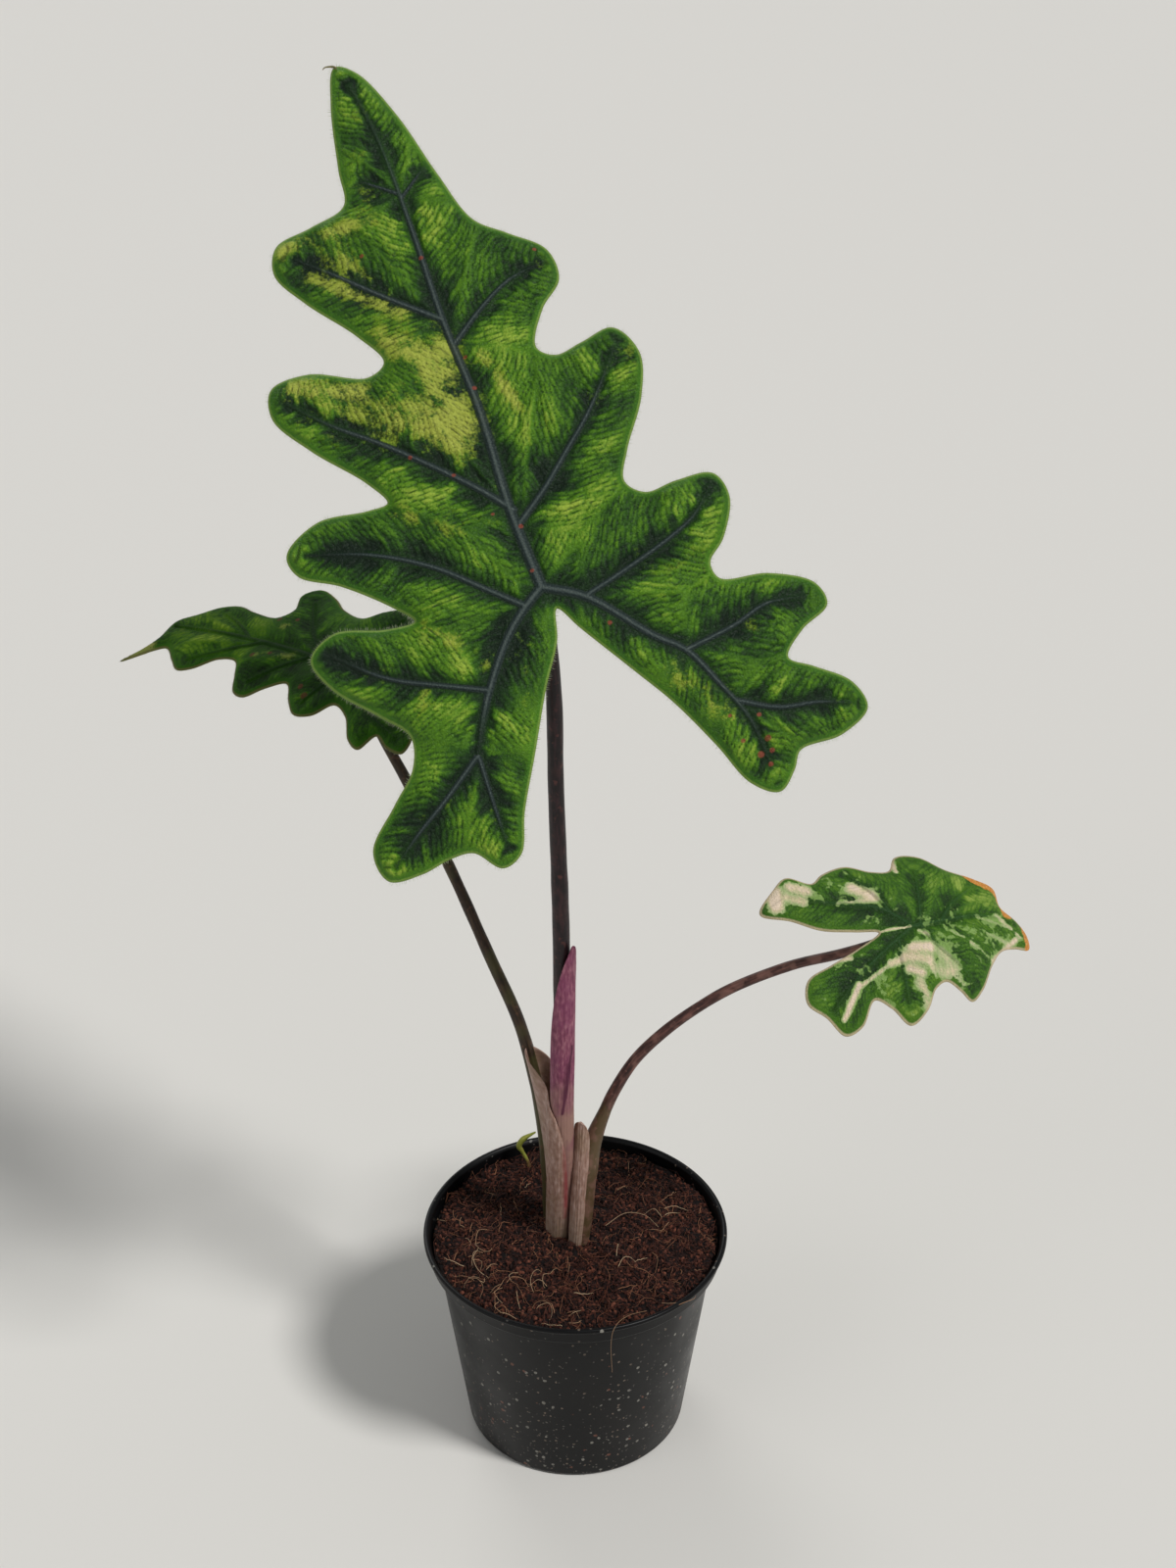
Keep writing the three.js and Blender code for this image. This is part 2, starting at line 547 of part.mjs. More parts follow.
function potSolid() {
  const collarFoot = POT_HEIGHT - COLLAR_HEIGHT;
  const wallTop = COLLAR_RADIUS - COLLAR_STEP;
  const floor = BASE_LIFT + BASE_THICKNESS;
  const profile = [
    [0, 0], [CENTRE_PAD_RADIUS, 0], [CENTRE_PAD_RADIUS + 0.6, BASE_LIFT],
    [POT_BASE_RADIUS - 1 - FOOT_WIDTH, BASE_LIFT], [POT_BASE_RADIUS - FOOT_WIDTH, 0],
    [POT_BASE_RADIUS - 1, 0], [POT_BASE_RADIUS, 1.4],
    [wallTop, collarFoot - 1], [wallTop + 0.6, collarFoot - 0.2], [COLLAR_RADIUS - 0.6, collarFoot],
    [COLLAR_RADIUS, collarFoot + 0.6], [COLLAR_RADIUS + 0.4, POT_HEIGHT - 2.2],
    [POT_RIM_RADIUS - 0.5, POT_HEIGHT - 2], [POT_RIM_RADIUS, POT_HEIGHT - 1.2],
    [POT_RIM_RADIUS - 0.4, POT_HEIGHT - 0.2], [POT_RIM_RADIUS - 1.2, POT_HEIGHT],
    [COLLAR_RADIUS + 0.2, POT_HEIGHT - 0.2], [COLLAR_RADIUS - 0.7, POT_HEIGHT - 1.4],
    [COLLAR_RADIUS - 1.1, collarFoot + 1.8], [wallTop - 0.4, collarFoot + 1],
    [wallTop - POT_WALL, collarFoot], [POT_BASE_RADIUS - POT_WALL + 0.4, floor + 2],
    [POT_BASE_RADIUS - POT_WALL - 1.2, floor], [0, floor],
  ];
  const shape = new THREE.LatheGeometry(profile.map(([x, y]) => new THREE.Vector2(x, y)), POT_SIDES);
  let pot = toSolid(shape.rotateX(Math.PI / 2));
  for (let i = 0; i < DRAIN_HOLES; i += 1) {
    const angle = ((i + 0.5) / DRAIN_HOLES) * 2 * Math.PI;
    const hole = new THREE.CylinderGeometry(DRAIN_HOLE_RADIUS, DRAIN_HOLE_RADIUS, 12, 12);
    hole.rotateX(Math.PI / 2);
    hole.translate(DRAIN_CIRCLE_RADIUS * Math.cos(angle), DRAIN_CIRCLE_RADIUS * Math.sin(angle), 2);
    pot = pot.subtract(toSolid(hole));
  }
  for (let i = 0; i < FOOT_NOTCHES; i += 1) {
    const angle = ((i + 0.5) / FOOT_NOTCHES) * 2 * Math.PI;
    const notch = new THREE.BoxGeometry(FOOT_WIDTH + 8, 5, 2);
    notch.translate(POT_BASE_RADIUS - FOOT_WIDTH / 2, 0, 0.2);
    notch.rotateZ(angle);
    pot = pot.subtract(toSolid(notch));
  }
  return pot;
}

// Rootstock and potting mix

// The rootstock, a short thick rhizome with its main roots, `extra` larger all round.
function rootstockSolid(extra = 0) {
  const foot = ROOTSTOCK_TOP - ROOTSTOCK_DEPTH;
  const profile = [[0, foot - extra]];
  const rounds = 7;
  for (let i = 1; i <= rounds; i += 1) {
    const rise = i / rounds;
    const radius = ROOTSTOCK_RADIUS * Math.sqrt(rise * (2 - rise)) * (1 + 0.06 * Math.cos(i * 2.6));
    profile.push([radius + extra, foot + ROOTSTOCK_DEPTH * rise - extra * (1 - rise)]);
  }
  profile.push([ROOTSTOCK_RADIUS - 1, ROOTSTOCK_TOP + extra], [0, ROOTSTOCK_TOP + extra]);
  const body = new THREE.LatheGeometry(profile.map(([x, y]) => new THREE.Vector2(x, y)), 14);
  body.rotateX(Math.PI / 2);
  body.translate(COLUMN_X, COLUMN_Y, 0);
  let rootstock = toSolid(body);
  const random = seededRandom(11);
  for (let i = 0; i < ROOTS; i += 1) {
    const angle = ((i + 0.6 * random()) / ROOTS) * 2 * Math.PI;
    const start = foot + 8 + 12 * random();
    const [cos, sin] = [Math.cos(angle), Math.sin(angle)];
    const root = (reach, height) => [COLUMN_X + reach * cos, COLUMN_Y + reach * sin, height];
    const route = [root(5, start), root(17, start - 3), root(27, start - 16), root(30 + 4 * random(), 16)];
    const radii = [[12, ROOT_RADIUS * 0.6], [start, ROOT_RADIUS]];
    rootstock = rootstock.add(stalkSolid({ route, radii }, extra, 6, 12));
  }
  return rootstock;
}

// The potting mix fills the pot up to its lumpy top, with plain holes for stalks and rootstock.
function mixSolid() {
  const wallTop = COLLAR_RADIUS - COLLAR_STEP - POT_WALL;
  const collarFoot = POT_HEIGHT - COLLAR_HEIGHT;
  const floor = BASE_LIFT + BASE_THICKNESS;
  const sides = 40;
  const lump = (x, y) => {
    const coarse = Math.sin(x / 3.1 + Math.sin(y / 5)) * Math.cos(y / 3.7);
    return MIX_LUMP * (coarse + 0.5 * Math.sin((x + y) / 2.3));
  };
  const baseRadius = POT_BASE_RADIUS - POT_WALL - 1.6;
  const outer = [
    [baseRadius * 0.5, floor], [baseRadius, floor],
    [POT_BASE_RADIUS - POT_WALL, floor + 3], [wallTop, collarFoot - 0.2], [wallTop + 0.8, collarFoot + 1.4],
    [COLLAR_RADIUS - 1.2, collarFoot + 2.2], [COLLAR_RADIUS - 1.1, MIX_LEVEL - 0.4],
  ].map(([radius, height]) => [radius - GAP, Math.max(height, floor) + GAP]);
  const top = [54, 47, 40, 33, 26, 19, 12, 5].map((radius) => [radius, null]);
  const rings = [...outer, ...top].map(([radius, height]) => Array.from({ length: sides }, (_, j) => {
    const angle = (j / sides) * 2 * Math.PI;
    const [x, y] = [radius * Math.cos(angle), radius * Math.sin(angle)];
    const level = MIX_LEVEL + MIX_DOME * (1 - (radius / COLLAR_RADIUS) ** 2) + lump(x, y);
    return new THREE.Vector3(x, y, height ?? level);
  }));
  const hole = new THREE.CylinderGeometry(COLUMN_HOLE_RADIUS, COLUMN_HOLE_RADIUS, 20, 20);
  hole.rotateX(Math.PI / 2);
  hole.translate(COLUMN_X, COLUMN_Y, ROOTSTOCK_TOP + 10);
  return toSolid(ringsGeometry(rings))
    .subtract(rootstockSolid(GAP))
    .subtract(toSolid(hole))
    .subtract(stalkSolid(OFFSET_SHOOT, GAP, 8, 5));
}

// The plant in its pot

const POT_BLACK = { color: 0x0c0c0d, roughness: 0.5, metalness: 0 };
const MIX_BROWN = { color: 0x1d120c, roughness: 1, metalness: 0 };
const ROOT_BROWN = { color: 0x6b4a34, roughness: 0.9, metalness: 0 };
const BLADE_GREEN = { color: 0x3f7a22, roughness: 0.55, metalness: 0 };
const BLADE_VARIEGATED = { color: 0x6d8c48, roughness: 0.55, metalness: 0 };
const STALK_BROWN = { color: 0x33201c, roughness: 0.5, metalness: 0 };
const CATAPHYLL_PINK = { color: 0xb0566a, roughness: 0.55, metalness: 0 };
const SHOOT_GREEN = { color: 0x9aa23c, roughness: 0.5, metalness: 0 };

const leftSheath = sheathSolid(LEFT_STALK, LEFT_SHEATH, -SHEATH_ROOT);
const rightSheath = sheathSolid(RIGHT_STALK, RIGHT_SHEATH, -SHEATH_ROOT);
const cataphyll = sheathSolid(LARGE_STALK, CATAPHYLL, GAP + 0.1);
const shoot = stalkSolid(OFFSET_SHOOT, 0, 8, 5);

const plant = new THREE.Group();
plant.add(meshOf('pot', toGeometry(potSolid()), POT_BLACK));
plant.add(meshOf('potting_mix', toGeometry(mixSolid()), MIX_BROWN));
plant.add(meshOf('rootstock', toGeometry(mainBody(rootstockSolid())), ROOT_BROWN));
plant.add(...leafPieces(LARGE_LEAF, LARGE_STALK, BLADE_GREEN, STALK_BROWN));
plant.add(...leafPieces(LEFT_LEAF, LEFT_STALK, BLADE_GREEN, STALK_BROWN, [leftSheath]));
plant.add(...leafPieces(RIGHT_LEAF, RIGHT_STALK, BLADE_VARIEGATED, STALK_BROWN, [rightSheath]));
plant.add(meshOf('cataphyll', toGeometry(cataphyll), CATAPHYLL_PINK));
plant.add(meshOf('offset_shoot', toGeometry(shoot), SHOOT_GREEN));

export default plant;
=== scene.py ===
# %% [markdown]
# # A potted jacklyn alocasia
# This lesson dresses a house plant that another program has already built as plain solids.
# The solids arrive as a fixed frame in metres, so nothing here is moved or fitted: every leaf,
# stalk and crumb of soil is made finer in the place where its solid stands.
# The plant has three lobed, quilted leaves on long stalks, a pink scale leaf round the main
# stalk, and a black nursery pot filled with coir.

# %% Load the frame
import math
from functools import partial

import bmesh
import bpy
import numpy as np
from mathutils import Matrix, Vector
from mathutils.geometry import delaunay_2d_cdt
from mathutils.kdtree import KDTree


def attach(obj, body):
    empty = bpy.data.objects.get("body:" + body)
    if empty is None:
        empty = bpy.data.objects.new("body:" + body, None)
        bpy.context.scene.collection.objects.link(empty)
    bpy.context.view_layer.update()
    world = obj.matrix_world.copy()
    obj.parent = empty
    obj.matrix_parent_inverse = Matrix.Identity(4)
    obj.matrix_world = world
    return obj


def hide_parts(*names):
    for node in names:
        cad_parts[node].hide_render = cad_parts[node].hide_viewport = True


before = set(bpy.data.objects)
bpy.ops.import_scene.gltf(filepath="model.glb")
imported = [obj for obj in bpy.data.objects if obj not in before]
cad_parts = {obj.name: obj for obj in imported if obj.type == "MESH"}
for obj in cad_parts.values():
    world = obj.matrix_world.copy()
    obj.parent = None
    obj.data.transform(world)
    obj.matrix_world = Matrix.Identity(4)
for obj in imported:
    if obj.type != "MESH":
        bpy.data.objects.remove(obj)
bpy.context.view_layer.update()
MM = 0.001  # leaves and stalks are planned in millimetres and built in metres
print("nodes:", sorted(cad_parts))

# %% [markdown]
# ## The camera
# The photograph looks down on the plant at 28 degrees. The lens and the place come from the
# ellipses that the pot's rim and foot make in the picture: a 12 cm rim fixes the distance.
# Blender spreads the sensor over the longer side, which is the upright one here.

# %% The camera
bpy.context.scene.view_settings.view_transform = "Standard"  # colours stay as they are written
CAMERA_PITCH = math.radians(28.3)
CAMERA_PLACE = (0.005, -0.6744, 0.6514)
LENS = 50.0
SENSOR = 36.0

camera_data = bpy.data.cameras.new("camera")
camera_data.lens = LENS
camera_data.sensor_width = SENSOR
camera_data.clip_end = 20
camera = bpy.data.objects.new("camera", camera_data)
camera.location = CAMERA_PLACE
camera.rotation_euler = (math.pi / 2 - CAMERA_PITCH, 0, 0)
bpy.context.scene.collection.objects.link(camera)
bpy.context.scene.camera = camera
print("lens", LENS, "mm, looking down", round(math.degrees(CAMERA_PITCH), 1), "degrees")

# %% [markdown]
# ## Small helpers
# Colours are written as sRGB hex values, as a painter reads them off a chart, and turned to the
# linear values that a renderer adds up. One function feeds a node and one adds a node with its
# settings and links, so that a material reads as a list of steps.


# %% Colours and nodes
def linear(hex_colour):
    """The linear colour of an sRGB hex value such as #4f8a2b."""
    channels = [int(hex_colour[i : i + 2], 16) / 255 for i in (1, 3, 5)]
    return (*[c / 12.92 if c <= 0.04045 else ((c + 0.055) / 1.055) ** 2.4 for c in channels], 1.0)


def feed(tree, node, inputs):
    """Gives a node its inputs. Each is a value, another node or the socket of one."""
    for socket, value in inputs.items():
        if isinstance(value, bpy.types.Node):
            value = next(output for output in value.outputs if output.enabled)
        if isinstance(value, bpy.types.NodeSocket):
            tree.links.new(value, node.inputs[socket])
        else:
            node.inputs[socket].default_value = value


def add_node(tree, kind, inputs=None, stops=None, **settings):
    """Adds a node with its inputs and settings. stops are the places and colours of a ramp."""
    made = tree.nodes.new(kind)
    for setting, value in settings.items():
        setattr(made, setting, value)
    if stops:
        elements = made.color_ramp.elements
        while len(elements) < len(stops):
            elements.new(1.0)
        for element, (place, hex_colour) in zip(elements, stops):
            element.position = place
            element.color = linear(hex_colour)
    feed(tree, made, inputs or {})
    return made


def new_material(name):
    """A material, a function that adds a node to it, and one that feeds its shader."""
    material = bpy.data.materials.new(name)
    material.use_nodes = True
    tree = material.node_tree
    return material, partial(add_node, tree), partial(feed, tree, tree.nodes["Principled BSDF"])


print("a leaf's green in linear light:", [round(channel, 3) for channel in linear("#305a0e")])

# %% [markdown]
# ## From points to a piece
# A piece is a mesh whose place is in its vertices, so its object stays at the origin. Extra
# numbers, such as how far a point is from a rib, are stored on the vertices as attributes, and
# the materials read them by name. A closed mesh with its faces outwards has a positive volume,
# which is printed for each piece.


# %% From points to a piece
def mesh_from(name, points, faces, edges=(), **attributes):
    """A mesh from points in metres, with float or vector attributes on its points."""
    mesh = bpy.data.meshes.new(name)
    mesh.from_pydata([tuple(p) for p in points], list(edges), [tuple(f) for f in faces])
    for attribute, values in attributes.items():
        values = np.asarray(values, np.float32)
        kind = "FLOAT" if values.ndim == 1 else "FLOAT_VECTOR"
        layer = mesh.attributes.new(attribute, kind, "POINT")
        layer.data.foreach_set("value" if kind == "FLOAT" else "vector", values.ravel())
    mesh.update()
    return mesh


def add_object(name, mesh):
    made = bpy.data.objects.new(name, mesh)
    bpy.context.scene.collection.objects.link(made)
    return made


def finish_piece(piece, slot, *nodes, material=None):
    """Shades a piece smooth, rides it on the root and hides the solids that it stands for. slot is
    not used.
    """
    if material:
        piece.data.materials.clear()
        piece.data.materials.append(material)
    piece.data.shade_smooth()
    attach(piece, "root")
    if nodes:
        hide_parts(*nodes)
    solid = bmesh.new()
    solid.from_mesh(piece.data)
    volume = solid.calc_volume(signed=True) * 1e6
    triangles = sum(len(face.verts) - 2 for face in solid.faces)
    solid.free()
    print(f"{piece.name}: {triangles} triangles, {volume:.3f} ml")
    return piece

# %% [markdown]
# ## Smooth lines and soft noise
# Every margin, rib and stalk follows a smooth curve through a few measured points. A
# centripetal Catmull-Rom curve passes through each of them without loops, and walking along it
# gives even spacing. The noise is a grid of random numbers, blended smoothly: the same seed
# gives the same leaf each time.

# %% Smooth lines and soft noise
CURVE_STEPS = 24  # points from corner to corner, before they are spaced evenly
NOISE_CELLS = 256


def smooth_line(corners, spacing, closed=False):
    """Evenly spaced points on a centripetal Catmull-Rom curve through the corners."""
    p = np.asarray(corners, float)
    if closed:
        path = np.concatenate([p[-1:], p, p[:2]])
    else:
        path = np.concatenate([2 * p[:1] - p[1:2], p, 2 * p[-1:] - p[-2:-1]])
    share = np.linspace(0, 1, CURVE_STEPS, endpoint=False)[:, None]
    dense = []
    for a, b, c, d in zip(path, path[1:], path[2:], path[3:]):
        ab, bc, cd = (np.linalg.norm(q - r) ** 0.5 for q, r in ((b, a), (c, b), (d, c)))
        leave = ((b - a) / ab - (c - a) / (ab + bc) + (c - b) / bc) * bc
        arrive = ((c - b) / bc - (d - b) / (bc + cd) + (d - c) / cd) * bc
        square = 3 * (c - b) - 2 * leave - arrive
        cube = 2 * (b - c) + leave + arrive
        dense.append(b + leave * share + square * share**2 + cube * share**3)
    dense = np.concatenate([*dense, p[:1] if closed else p[-1:]])
    walked = np.r_[0, np.cumsum(np.linalg.norm(np.diff(dense, axis=0), axis=1))]
    marks = np.linspace(0, walked[-1], max(3, round(walked[-1] / spacing) + 1))
    line = np.column_stack([np.interp(marks, walked, axis) for axis in dense.T])
    return line[:-1] if closed else line


def soft_noise(x, y, size, seed):
    """Smooth noise from -1 to 1 whose lumps are about `size` across."""
    grid = np.random.default_rng(seed).uniform(-1, 1, (NOISE_CELLS, NOISE_CELLS))
    x, y = np.asarray(x) / size, np.asarray(y) / size
    column, row = np.floor(x).astype(int), np.floor(y).astype(int)
    fx, fy = x - column, y - row
    fx, fy = fx * fx * (3 - 2 * fx), fy * fy * (3 - 2 * fy)
    left, right = column % NOISE_CELLS, (column + 1) % NOISE_CELLS
    rows = (row % NOISE_CELLS, (row + 1) % NOISE_CELLS)
    near, far = (grid[at, left] * (1 - fx) + grid[at, right] * fx for at in rows)
    return near * (1 - fy) + far * fy


def smooth_step(low, high, x):
    """0 at low and 1 at high, with a smooth rise between them."""
    t = np.clip((x - low) / (high - low), 0, 1)
    return t * t * (3 - 2 * t)


print("a 10 mm line with a point every 2 mm has", len(smooth_line([(0, 0), (10, 0)], 2)), "points")

# %% [markdown]
# ## The plans of the leaves
# Each leaf is drawn flat, in millimetres, with the stalk at the origin and the tip up. A row of
# the margin is one lobe. A rib is its route and its half-width at both ends. The last lists are
# markings: scars, and strokes that run from one point to another with a half-width and a
# strength, which is how variegation lies on the real leaf, in patches between two ribs. The
# light and deep strokes make the green lighter or darker in the places given.

# %% The plan of the large leaf
LARGE_LEAF = {
    "place": (-10, -25, 374),
    "turn": {"tilt": 55.2, "roll": 0, "spin": 21.8},
    "bend": {
        "tip": 16, "tip_length": 190, "heel": 10, "heel_length": 90,
        "left": 5, "right": 5, "half_width": 80,
    },
    "margin": [
        [(2, 197), (-4, 184), (-10, 160), (-13, 147)],
        [(-26, 144), (-39, 142), (-43, 133), (-37, 120), (-25, 102), (-20, 90)],
        [(-27, 87), (-45, 96), (-58, 96), (-61, 86), (-53, 71), (-40, 54), (-36, 45)],
        [(-43, 45), (-60, 48), (-73, 42), (-72, 34), (-60, 25), (-47, 12), (-42, 5)],
        [(-52, 6), (-68, 11), (-78, 6), (-75, -5), (-64, -19), (-57, -29)],
        [(-60, -39), (-70, -48), (-82, -59), (-81, -69), (-70, -71), (-60, -70), (-52, -71)],
        [(-45, -79), (-38, -77), (-32, -65), (-22, -49), (-11, -31), (-2, -18), (2, -8)],
        [(7, -17), (18, -36), (26, -50), (34, -68), (40, -83), (48, -89), (55, -84), (59, -79)],
        [(74, -79), (85, -74), (83, -65), (73, -56), (66, -50)],
        [(74, -43), (85, -38), (84, -30), (71, -22), (55, -18), (54, -12)],
        [(61, -6), (68, 6), (66, 15), (54, 17), (43, 17), (38, 23)],
        [(43, 33), (54, 48), (59, 62), (54, 73), (43, 72), (33, 71), (28, 76)],
        [(35, 88), (44, 96), (44, 107), (34, 117), (25, 126)],
        [(20, 146), (15, 172), (8, 192)],
    ],
    "ribs": [
        ([(0, 0), (0, 28), (3, 64), (3, 96), (5, 130), (6, 164), (4, 188)], (2.8, 0.8)),
        ([(5, 144), (-5, 153)], (0.9, 0.6)),
        ([(6, 142), (16, 149)], (0.9, 0.6)),
        ([(3, 96), (-13, 112), (-24, 124), (-35, 135)], (1.7, 0.8)),
        ([(1, 27), (-8, 39), (-30, 63), (-45, 77), (-55, 89)], (1.9, 0.8)),
        ([(-7, -4), (-17, 6), (-30, 19), (-48, 31), (-67, 39)], (1.7, 0.8)),
        ([(0, 0), (-7, -4), (-16, -11), (-28, -25), (-34, -34), (-39, -43)], (2.4, 1.7)),
        ([(-28, -25), (-43, -17), (-57, -9), (-71, 4)], (1.5, 0.8)),
        ([(-39, -43), (-55, -53), (-66, -59), (-77, -66)], (1.5, 0.8)),
        ([(-39, -43), (-40, -57), (-41, -72)], (1.3, 0.7)),
        ([(4, 87), (16, 95), (28, 101), (40, 103)], (1.5, 0.8)),
        ([(1, 22), (13, 30), (24, 39), (36, 49), (51, 65)], (1.8, 0.8)),
        ([(0, 0), (12, -8), (28, -28), (36, -36), (42, -50), (47, -64), (48, -81)], (2.4, 0.9)),
        ([(12, -8), (26, -5), (45, 0), (55, 4), (63, 11)], (1.5, 0.8)),
        ([(36, -36), (54, -34), (66, -31), (78, -33)], (1.5, 0.8)),
        ([(45, -57), (57, -64), (70, -67), (80, -71)], (1.4, 0.8)),
    ],
    "pale": [
        ((4, 178), (-3, 156), 4.0, 0.45),
        ((-7, 150), (-5, 122), 4.5, 0.55),
        ((-38, 140), (-8, 138), 3.5, 0.9),
        ((-23, 131), (-14, 121), 5.0, 0.75),
        ((-32, 127), (-8, 103), 3.5, 0.9),
        ((-17, 97), (-4, 80), 6.0, 0.85),
        ((-5, 86), (-7, 56), 9.0, 1.0),
        ((-24, 72), (-8, 60), 8.5, 1.0),
        ((-52, 93), (-31, 83), 4.5, 1.05),
        ((-43, 83), (-34, 76), 5.0, 0.75),
        ((-52, 80), (-45, 71), 4.0, 0.5),
        ((11, 80), (15, 58), 2.8, 0.95),
        ((20, 52), (15, 42), 5.0, 0.45),
        ((-34, 41), (-18, 26), 3.5, 0.75),
        ((-20, 34), (-6, 25), 2.5, 0.45),
        ((-40, 2), (-25, -16), 3.0, 0.75),
        ((-53, -25), (-47, -18), 3.5, 0.7),
        ((28, -40), (41, -61), 4.0, 0.7),
        ((-11, -15), (-21, -37), 3.0, 0.45),
        ((58, -36), (63, -42), 3.0, 0.5),
        ((52, -5), (36, -16), 4.0, 0.35),
        ((56, 70), (57, 58), 3.0, 0.5),
        ((-49, -52), (-50, -66), 4.0, 0.4),
    ],
    "scars": [
        ((50, -72), 1.1), ((46, -76), 1.2), ((50, -76), 0.9), ((50, -64), 0.8), ((42, -70), 0.8),
        ((48, -80), 0.9), ((16, -19), 0.8), ((41, -61), 0.7), ((4, 119), 0.8), ((5, 81), 0.7),
        ((-14, 127), 0.7), ((40, 108), 0.7), ((4, 70), 0.8), ((-24, 56), 0.7), ((-13, 45), 0.7),
        ((-6, 28), 0.6), ((1, 21), 0.8), ((-1, 6), 0.7),
    ],
    "dying": [],
    "light": [
        ((10, 160), (8, 120), 6, 0.5), ((18, 118), (24, 96), 5, 0.6), ((20, 84), (12, 52), 7, 0.5),
        ((45, 66), (50, 56), 5, 0.6), ((30, 26), (14, 14), 6, 0.6), ((30, -12), (55, -20), 4, 0.5),
        ((-30, 50), (-14, 34), 6, 0.6), ((-40, 18), (-16, 2), 6, 0.5), ((-45, -22), (-30, -14), 4, 0.6),
        ((-52, -40), (-60, -32), 5, 0.6), ((-48, -72), (-50, -52), 4, 0.5),
        ((-24, -58), (-18, -36), 4, 0.5),
    ],
    "deep": [
        ((-38, 128), (-30, 131), 5, 0.8), ((-44, 88), (-30, 79), 2, 0.4), ((54, 66), (46, 74), 6, 0.5),
        ((36, 106), (28, 112), 5, 0.5), ((-64, 38), (-56, 36), 5, 0.5), ((-70, 0), (-60, -2), 5, 0.5),
    ],
}
print("large leaf:", len(LARGE_LEAF["margin"]), "lobes,", len(LARGE_LEAF["ribs"]), "ribs")

# %% [markdown]
# ## The plan of the left leaf
# The left leaf is younger and hangs at the back, with its tip to the left. The large leaf hides
# its right half in the photograph, so the lobes there are drawn like those on its other side.

# %% The plan of the left leaf
LEFT_LEAF = {
    "place": (-80, 45, 309),
    "turn": {"tilt": 17, "roll": -17, "spin": 55},
    "bend": {
        "tip": 8, "tip_length": 120, "heel": 4, "heel_length": 45,
        "left": 5, "right": 3, "half_width": 40,
    },
    "margin": [
        [(-18, 119), (-13, 110), (-10, 105), (-8, 99)],
        [(-13, 91), (-17, 84), (-15, 77), (-8, 68), (-7, 59)],
        [(-13, 54), (-20, 49), (-21, 43), (-15, 35), (-11, 27)],
        [(-18, 20), (-23, 13), (-21, 6), (-14, 0)],
        [(-17, -8), (-25, -15), (-27, -21), (-20, -25)],
        [(-23, -32), (-23, -39), (-15, -38), (-9, -27), (-4, -15), (0, -6)],
        [(4, -15), (9, -28), (16, -40), (25, -38), (25, -30), (23, -22)],
        [(30, -16), (37, -9), (37, 3), (33, 13), (28, 20)],
        [(31, 34), (36, 43), (38, 52), (32, 57), (24, 54), (18, 58)],
        [(18, 71), (20, 82), (18, 91), (12, 99), (6, 107), (-4, 108), (-11, 112)],
    ],
    "ribs": [
        ([(0, 0), (3, 25), (4, 50), (4, 80), (3, 104)], (1.8, 0.7)),
        ([(3, 25), (-5, 35), (-15, 45)], (1.1, 0.7)),
        ([(1, 6), (-8, 10), (-18, 13)], (1.1, 0.7)),
        ([(4, 52), (-3, 66), (-12, 82)], (1.1, 0.7)),
        ([(2, 18), (14, 34), (30, 48)], (1.1, 0.7)),
        ([(0, 2), (14, 2), (31, 1)], (1.1, 0.7)),
        ([(4, 60), (10, 72), (14, 84)], (0.9, 0.7)),
        ([(0, 0), (-8, -9), (-15, -21), (-19, -33)], (1.4, 0.8)),
        ([(0, 0), (9, -9), (15, -21), (19, -34)], (1.4, 0.8)),
    ],
    "pale": [
        ((-19, 120), (-10, 109), 4.5, 1.3),
        ((11, 62), (13, 47), 2.5, 0.6),
        ((-3, 54), (1, 34), 3.0, 0.65),
        ((2, 96), (2, 84), 5.0, 0.4),
    ],
    "scars": [
        ((16, 54), 1.2), ((-15, 14), 1.5), ((-12, 18), 1.2), ((-1, 44), 1.0), ((-4, 51), 1.2),
        ((18, 46), 1.0),
    ],
    "dying": [],
    "light": [
        ((-3, 94), (-3, 72), 6, 1.0),
        ((10, 92), (10, 74), 6, 0.9),
        ((-8, 58), (10, 60), 5, 0.8),
        ((22, 20), (20, 36), 6, 0.5),
    ],
    "deep": [((30, 44), (20, 38), 7, 0.7), ((-2, 20), (-10, 8), 8, 0.5), ((14, -8), (18, -28), 6, 0.5)],
}
print("left leaf:", len(LEFT_LEAF["margin"]), "lobes,", len(LEFT_LEAF["ribs"]), "ribs")

# %% [markdown]
# ## The plan of the right leaf
# The smallest leaf has lost its green in cream patches, and its tip is dying off in orange. The
# cream lies in strokes between the ribs, and where some meet they make one large patch.

